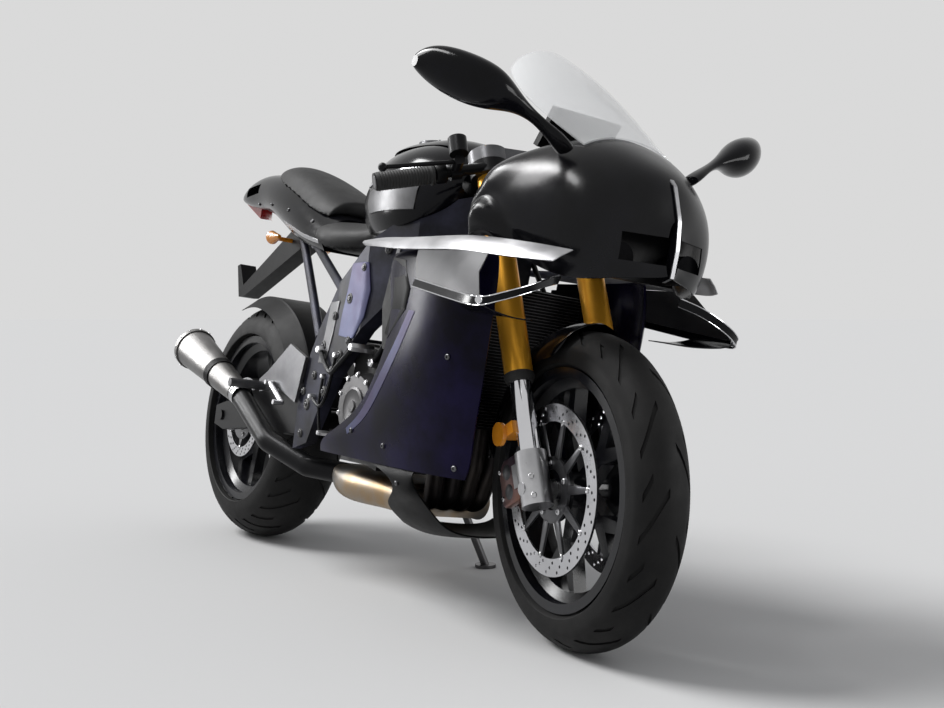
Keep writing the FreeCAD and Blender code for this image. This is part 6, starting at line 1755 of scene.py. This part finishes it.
@dataclass
class ChainLinks:
    """Roller chain with side plates and rollers in place of the plain chain band."""

    dresser: Dresser
    rear: Point = (0.0, 0.116, 0.326)
    front: Point = (0.64, 0.116, 0.35)
    rear_radius: float = 0.1037
    front_radius: float = 0.0407
    pitch: float = 0.015875
    plate_radius: float = 0.0068
    waist: float = 0.0052
    plate_thick: float = 0.0016
    roller_radius: float = 0.004
    roller_overrun: float = 0.0004
    half_wides: tuple[float, float] = (0.0072, 0.0088)

    def path(self) -> list[Vector]:
        """Pin places round both sprockets, an even number of them."""
        rear = Vector(self.rear)
        front = Vector(self.front)
        span = front - rear
        slope = math.atan2(span.z, span.x)
        tilt = math.asin((self.rear_radius - self.front_radius) / span.length)
        run = span.length * math.cos(tilt)
        rear_arc = self.rear_radius * (math.pi + 2 * tilt)
        front_arc = self.front_radius * (math.pi - 2 * tilt)
        total = 2 * run + rear_arc + front_arc
        count = 2 * round(total / self.pitch / 2)
        high = slope + math.pi / 2 - tilt
        low = slope - math.pi / 2 + tilt

        def spot(angle: float, middle: Vector, radius: float, past: float = 0.0) -> Vector:
            """A place at an angle of a sprocket, or past it along the straight run."""
            out = Vector((math.cos(angle), 0, math.sin(angle)))
            return middle + out * radius + Vector((out.z, 0, -out.x)) * past

        places = []
        for number in range(count):
            gone = total * number / count
            past = gone - run
            if gone < run:
                places.append(spot(high, rear, self.rear_radius, gone))
            elif past < front_arc:
                angle = high - past / self.front_radius
                places.append(spot(angle, front, self.front_radius))
            elif past < run + front_arc:
                places.append(spot(low, front, self.front_radius, past - front_arc))
            else:
                angle = low - (past - run - front_arc) / self.rear_radius
                places.append(spot(angle, rear, self.rear_radius))
        return places

    def link(self, half_wide: float) -> bpy.types.Object:
        """Two waisted side plates and a roller, its middle at the origin, along x."""
        outline = []
        half = self.pitch / 2
        for centre, start in ((half, -90), (-half, 90)):
            for step in range(5):
                turn = math.radians(start + 45 * step)
                outline.append(Vector((centre + math.cos(turn) * self.plate_radius, -half_wide,
                                       math.sin(turn) * self.plate_radius)))
            outline.append(Vector((0, -half_wide, self.waist if start < 0 else -self.waist)))
        first = plate(outline, Vector((0, self.plate_thick, 0)))
        second = first.copy()
        second.data = first.data.copy()
        bpy.context.scene.collection.objects.link(second)
        second.location.y = half_wide * 2 - self.plate_thick
        reach = half_wide + self.roller_overrun
        roller = rod(Vector((half, -reach, 0)), Vector((half, reach, 0)), self.roller_radius, 10)
        return join([first, second, roller])

    def build(self) -> None:
        """Builds the closed loop of inner and outer links."""
        places = self.path()
        spans = list(zip(places, places[1:] + places[:1]))
        across = Vector((0, 1, 0))
        whole = []
        for parity, half_wide in enumerate(self.half_wides):
            turns = []
            for start, end in spans[parity::2]:
                way = (end - start).normalized()
                turn = Matrix((way, across, way.cross(across))).transposed().to_4x4()
                turns.append(Matrix.Translation((start + end) / 2) @ turn)
            whole.append(repeated(self.link(half_wide), turns))
        self.dresser.fit(whole, "chain_links", Paintbox.STEEL, "satin_steel", ["drive_chain"])


@dataclass
class Fittings:
    """Display, mirror glass and tail details."""

    dresser: Dresser
    dash_low: Point = (1.228, 0.0, 0.962)
    dash_high: Point = (1.28, 0.0, 1.032)
    window: Section = ((-0.066, -0.03), (0.066, -0.03), (0.072, 0.026), (-0.072, 0.026))
    window_thick: float = 0.0022
    tick_count: int = 15
    tick_first: float = 205.0
    tick_sweep: float = 230.0
    tick_end: float = 0.0235
    tick_starts: tuple[float, float] = (0.0175, 0.02)
    tick_drop: float = 0.003
    tick_rise: float = 0.0026
    needle_turn: float = 190.0
    needle_length: float = 0.018
    needle_rise: float = 0.003
    mirror_start: int = 1000
    mirror_levels: range = range(980, 1080, 4)
    mirror_scan: range = range(300, 440, 4)
    mirror_least: int = 12
    mirror_rim: int = 8
    mirror_spans: int = 4
    tail_screws: tuple[Point, ...] = (
        (0.4, 3.0, 9.2), (2.0, 3.0, 8.9), (-1.4, 3.0, 9.4), (3.6, 3.0, 8.5))
    tail_line: Section = ((1.5, 8.68), (2.4, 8.44), (3.3, 8.18), (4.4, 7.95))
    tail_start: float = 3.0
    tail_band: float = 0.1

    def build_dash(self) -> None:
        """Display window, and on it a sweep of ticks with a needle."""
        low = Vector(self.dash_low)
        high = Vector(self.dash_high)
        rise = (high - low).normalized()
        out = Vector((-rise.z, 0, rise.x))
        across = Vector((0, 1, 0))
        middle = (low + high) / 2

        def at(u: float, v: float, w: float = 0.0) -> Vector:
            """A place on the dash: across, up and out from its middle."""
            return middle + across * u + rise * v + out * w

        def mark(near: float, far: float, degrees: float, height: float, radius: float
                 ) -> bpy.types.Object:
            """A thin bar along a radius of the dial."""
            turn = math.radians(degrees)
            ends = [at(math.cos(turn) * reach, math.sin(turn) * reach - self.tick_drop, height)
                    for reach in (near, far)]
            return rod(ends[0], ends[1], radius, 6)

        window = plate([at(u, v) for u, v in self.window], out * self.window_thick, 0.0008)
        self.dresser.fit([window], "display_window", Paintbox.DISPLAY, "gloss_black")
        marks = []
        for number in range(self.tick_count):
            degrees = self.tick_first - self.tick_sweep * number / (self.tick_count - 1)
            marks.append(mark(self.tick_starts[number % 2], self.tick_end, degrees,
                              self.tick_rise, 0.0005))
        marks.append(mark(0.0, self.needle_length, self.needle_turn, self.needle_rise, 0.0006))
        self.dresser.fit(marks, "display_marks", Paintbox.MARKS, "clear")

    def build_mirrors(self) -> None:
        """Mirror glass sunk to the shape of each head, facing the rider.

        The scan's levels and distances to the side are in millimetres.
        """
        ahead = Vector((1, 0, 0))
        glasses = []
        for side in SIDES:
            rows = []
            for level in self.mirror_levels:
                seen = [number for number in self.mirror_scan
                        if self.dresser.on_skin(
                            ["mirrors"],
                            Vector((self.mirror_start, side * number, level)) / 1000, ahead)]
                if len(seen) < self.mirror_least:
                    continue
                near = min(seen) + self.mirror_rim
                wide = max(seen) - self.mirror_rim - near
                rows.append([(self.mirror_start / 100,
                              side * (near + wide * part / self.mirror_spans) / 100,
                              level / 100)
                             for part in range(self.mirror_spans + 1)])
            rows = rows[1:-1]
            if len(rows) > 1:
                glasses.append(self.dresser.draped(["mirrors"], rows, ahead, 0.001))
        self.dresser.fit(glasses, "mirror_glasses", Paintbox.MIRROR, "chrome")

    def build_tail(self) -> None:
        """Screws and a bright band on each side of the tail."""
        self.dresser.screws("tail_screws", "tail_cowl", self.tail_screws, 0.005)
        bands = []
        for side in SIDES:
            rows = [[(x, self.tail_start * side, z - drop) for x, z in self.tail_line]
                    for drop in (0.0, self.tail_band)]
            bands.append(self.dresser.draped(["tail_cowl"], rows, Vector((0, -side, 0)), 0.0012))
        self.dresser.fit(bands, "tail_bands", Paintbox.SILVER, "gloss_black")

    def build(self) -> None:
        """Builds all fittings."""
        self.build_dash()
        self.build_mirrors()
        self.build_tail()


# Seats
@dataclass
class SeatPads:
    """Rider's and pillion pads, swollen by cloth under a cover."""

    dresser: Dresser
    voxel: float = 0.0055
    cap: float = 0.005
    pressure: float = 3.0
    stretch: float = 40.0
    quality: int = 4
    frames: int = 12

    def swell(self, node: str) -> bpy.types.Object:
        """A pad from a CAD solid: remeshed, puffed by cloth and held near its start."""
        source = self.dresser.nodes[node]
        deselect()
        item = source.copy()
        item.data = source.data.copy()
        item.parent = None
        bpy.context.scene.collection.objects.link(item)
        for key in list(item.keys()):
            del item[key]
        outward(item)
        item.data.remesh_voxel_size = self.voxel
        take(item)
        bpy.ops.object.voxel_remesh()
        add_modifier(item, "SMOOTH", factor=0.5, iterations=6)
        self.simulate(item)
        add_modifier(item, "SMOOTH", factor=0.4, iterations=3)
        return item

    def simulate(self, item: bpy.types.Object) -> None:
        """Puffs the cover a little and keeps each point within the cap."""
        rest = [vertex.co.copy() for vertex in item.data.vertices]
        take(item)
        cloth = item.modifiers.new("Cover", "CLOTH")
        cloth.settings.use_pressure = True
        cloth.settings.uniform_pressure_force = self.pressure
        cloth.settings.effector_weights.gravity = 0.0
        cloth.settings.quality = self.quality
        cloth.settings.tension_stiffness = self.stretch
        scene = bpy.context.scene
        for number in range(1, self.frames + 1):
            scene.frame_set(number)
        bpy.ops.object.modifier_apply(modifier=cloth.name)
        scene.frame_set(1)
        for vertex, start in zip(item.data.vertices, rest):
            way = vertex.co - start
            if way.length > self.cap:
                vertex.co = start + way.normalized() * self.cap

    def build(self) -> None:
        """Builds both pads."""
        for node, name, fill in (("rider_seat", "rider_pad", 0.7),
                                 ("pillion_pad", "pillion_pad_cover", 0.8)):
            item = self.swell(node)
            self.dresser.keep(item, name, "chassis", Paintbox.HIDE, "seat",
                              Matrix.Identity(4), [node], 60.0)


# Studio
@dataclass
class Studio:
    """Floor, lamps, world and camera."""

    stance: Stance
    azimuth: float = math.radians(56.5)
    elevation: float = math.radians(2.2)
    distance: float = 2.567
    target: Point = (1.087, 0.0, 0.545)
    lens: float = 47.36
    backdrop: Colour = (0.7, 0.7, 0.7)
    fill_light: float = 0.42
    sensor: float = 36.0
    far: float = 60.0
    floor_size: float = 400.0
    floor_drop: float = 0.0004

    def build_camera(self) -> None:
        """The photograph's view."""
        origin = self.stance.upright.translation
        aim = Vector((origin.x, origin.y, 0.0)) + Vector(self.target)
        back = Vector((
            math.sin(self.azimuth) * math.cos(self.elevation),
            -math.cos(self.azimuth) * math.cos(self.elevation),
            math.sin(self.elevation),
        ))
        deselect()
        bpy.ops.object.camera_add(location=aim + back * self.distance)
        camera = bpy.context.active_object
        camera.name = "view_camera"
        camera.rotation_euler = (-back).to_track_quat("-Z", "Y").to_euler()
        camera.data.lens = self.lens
        camera.data.sensor_width = self.sensor
        camera.data.clip_end = self.far
        bpy.context.scene.camera = camera

    def build_floor(self) -> None:
        """A wide pale floor under the tyres that keeps the shadow."""
        deselect()
        bpy.ops.mesh.primitive_plane_add(
            size=self.floor_size, location=(0.0, 0.0, -self.floor_drop)
        )
        floor = bpy.context.active_object
        floor.name = "studio_floor"
        with editing(floor):
            bpy.ops.mesh.subdivide(number_cuts=3)
        apply_place(floor)
        bench = ShaderBench(bpy.data.materials.new("pale_floor"))
        matt = bench.node(
            "ShaderNodeBsdfDiffuse", inputs={"Color": (*self.backdrop, 1.0)}
        )
        floor.data.materials.append(bench.end(matt))

    def build_world(self) -> None:
        """Backdrop colour for camera, mirrors and glass, and a softer fill for matt parts."""
        world = bpy.data.worlds.new("studio_world")
        bpy.context.scene.world = world
        bench = ShaderBench(world)
        share = bench.node("ShaderNodeLightPath", output="Is Camera Ray")
        for path in ("Is Glossy Ray", "Is Transmission Ray"):
            share = share + bench.node("ShaderNodeLightPath", output=path)
        seen = bench.node("ShaderNodeBackground", inputs={"Color": (*self.backdrop, 1.0)})
        fill = bench.node(
            "ShaderNodeBackground",
            inputs={"Color": (0.97, 0.98, 1.0, 1.0), "Strength": self.fill_light},
        )
        mixed = bench.node("ShaderNodeMixShader", inputs={0: share, 1: fill, 2: seen})
        bench.end(mixed, "ShaderNodeOutputWorld")

    def lamp(
        self, kind: str, name: str, spot: Point, power: float, aim: float
    ) -> bpy.types.Object:
        """A lamp that looks at the machine's middle at the height of its aim."""
        deselect()
        bpy.ops.object.light_add(type=kind, location=spot)
        light = bpy.context.active_object
        light.name = name
        light.data.energy = power
        way = Vector((0.0, 0.0, aim)) - Vector(spot)
        light.rotation_euler = way.to_track_quat("-Z", "Y").to_euler()
        return light

    def glint(self, name: str, spot: Point, wide: float, tall: float, power: float) -> None:
        """A strip lamp that only glossy surfaces answer to."""
        light = self.lamp("AREA", name, spot, power, aim=0.6)
        light.data.shape = "RECTANGLE"
        light.data.size = wide
        light.data.size_y = tall
        light.visible_diffuse = False

    def build_lamps(self) -> None:
        """A broad key from the rear right above, and glossy strips round the machine."""
        sun = self.lamp("SUN", "key_sun", (-1.6, -1.3, 2.6), 2.55, aim=0.5)
        sun.data.angle = math.radians(28.0)
        self.glint("high_strip", (-0.4, -1.2, 3.4), wide=3.2, tall=0.5, power=120.0)
        self.glint("nose_box", (3.2, 1.8, 1.2), wide=1.6, tall=1.6, power=60.0)
        self.glint("rear_strip", (-2.8, -2.0, 1.8), wide=0.5, tall=2.0, power=80.0)

    def build(self) -> None:
        """Builds the whole studio."""
        bpy.context.scene.view_settings.view_transform = "Standard"
        self.build_camera()
        self.build_floor()
        self.build_world()
        self.build_lamps()


NODE_FINISHES: dict[str, Finish] = {
    "frame": Paintbox.FRAME,
    "engine_block": Paintbox.CAST,
    "engine_covers": Paintbox.COVER,
    "radiator": Paintbox.PLASTIC,
    "swingarm": Paintbox.BLACK_METAL,
    "drive_chain": Paintbox.STEEL,
    "rear_hugger": Paintbox.PLASTIC,
    "rear_shock": Paintbox.DARK_ALLOY,
    "rear_caliper": Paintbox.COPPER,
    "exhaust_headers": Paintbox.BURNT_AND_SHADED,
    "exhaust_chamber": Paintbox.CHAMBER,
    "exhaust_pipe": Paintbox.BLACK_METAL,
    "muffler": Paintbox.MUFFLER,
    "fuel_tank": Paintbox.LACQUER,
    "tank_cover": Paintbox.LACQUER,
    "fuel_cap": Paintbox.DARK_ALLOY,
    "tail_cowl": Paintbox.LACQUER,
    "front_cowl": Paintbox.NOSE,
    "windscreen": Paintbox.SCREEN,
    "side_fairing_left": Paintbox.FAIRING,
    "side_fairing_right": Paintbox.FAIRING,
    "belly_pan": Paintbox.PLASTIC,
    "side_wings": Paintbox.LACQUER,
    "mirrors": Paintbox.LACQUER,
    "plate_bracket": Paintbox.PLASTIC,
    "rear_subframe": Paintbox.FRAME,
    "footrests": Paintbox.DARK_ALLOY,
    "foot_levers": Paintbox.ALLOY,
    "cowl_stay": Paintbox.PLASTIC,
    "instrument_panel": Paintbox.PLASTIC,
    "headlamps": Paintbox.DARK_LENS,
    "fairing_stays": Paintbox.PLASTIC,
    "inner_ducts": Paintbox.PLASTIC,
    "tail_light": Paintbox.RED,
    "indicators": Paintbox.AMBER,
    "stand_bracket": Paintbox.CAST,
    "fork_sliders": Paintbox.CHROME,
    "fork_tubes": Paintbox.GOLD,
    "fork_shoes": Paintbox.ALLOY,
    "fork_clamps": Paintbox.DARK_ALLOY,
    "handlebars": Paintbox.BLACK_METAL,
    "hand_levers": Paintbox.BLACK_METAL,
    "front_mudguard": Paintbox.LACQUER,
    "side_reflectors": Paintbox.AMBER,
    "front_rim": Paintbox.WHEEL,
    "rear_rim": Paintbox.WHEEL,
    "rear_sprocket": Paintbox.STEEL,
    "side_stand": Paintbox.COVER,
}


def main() -> None:
    """Builds the studio and dresses the machine."""
    logging.basicConfig(level=logging.INFO, format="%(message)s")
    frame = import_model()
    joints = {joint["name"]: joint for joint in frame["joints"]}
    stance = Stance(joints)
    dresser = Dresser(stance, Paintbox(), frame)
    Studio(stance).build()
    for node, finish in NODE_FINISHES.items():
        dresser.paint(node, finish)
    front = Wheel(dresser, WheelEnd.FRONT, radius=0.3, crown=0.06, shoulder_half=0.057,
                  bead_half=0.046, steps=120, groove_every=10, arm_count=10)
    front.build_tyre()
    front.build_disc("front_disc", "front_discs", radius=0.16, band=0.033,
                     sides=(-0.064, 0.064))
    front.build_valve()
    rear = Wheel(dresser, WheelEnd.REAR, radius=0.326, crown=0.1, shoulder_half=0.096,
                 bead_half=0.076, steps=128, groove_every=8, arm_count=6)
    rear.build_tyre()
    rear.build_disc("rear_disc", "rear_disc", radius=0.11, band=0.026, sides=(-0.088,))
    rear.build_valve()
    fork = ForkLegs(dresser)
    fork.build_legs()
    fork.build_calipers()
    fork.build_controls()
    for dress in (FrontGuard, SideWings, NoseKeelHighlight, BodyTrim, EngineDress, ExhaustDress,
                  ChainLinks, Fittings, SeatPads):
        dress(dresser).build()
    bpy.context.view_layer.update()


if __name__ == "__main__":
    main()
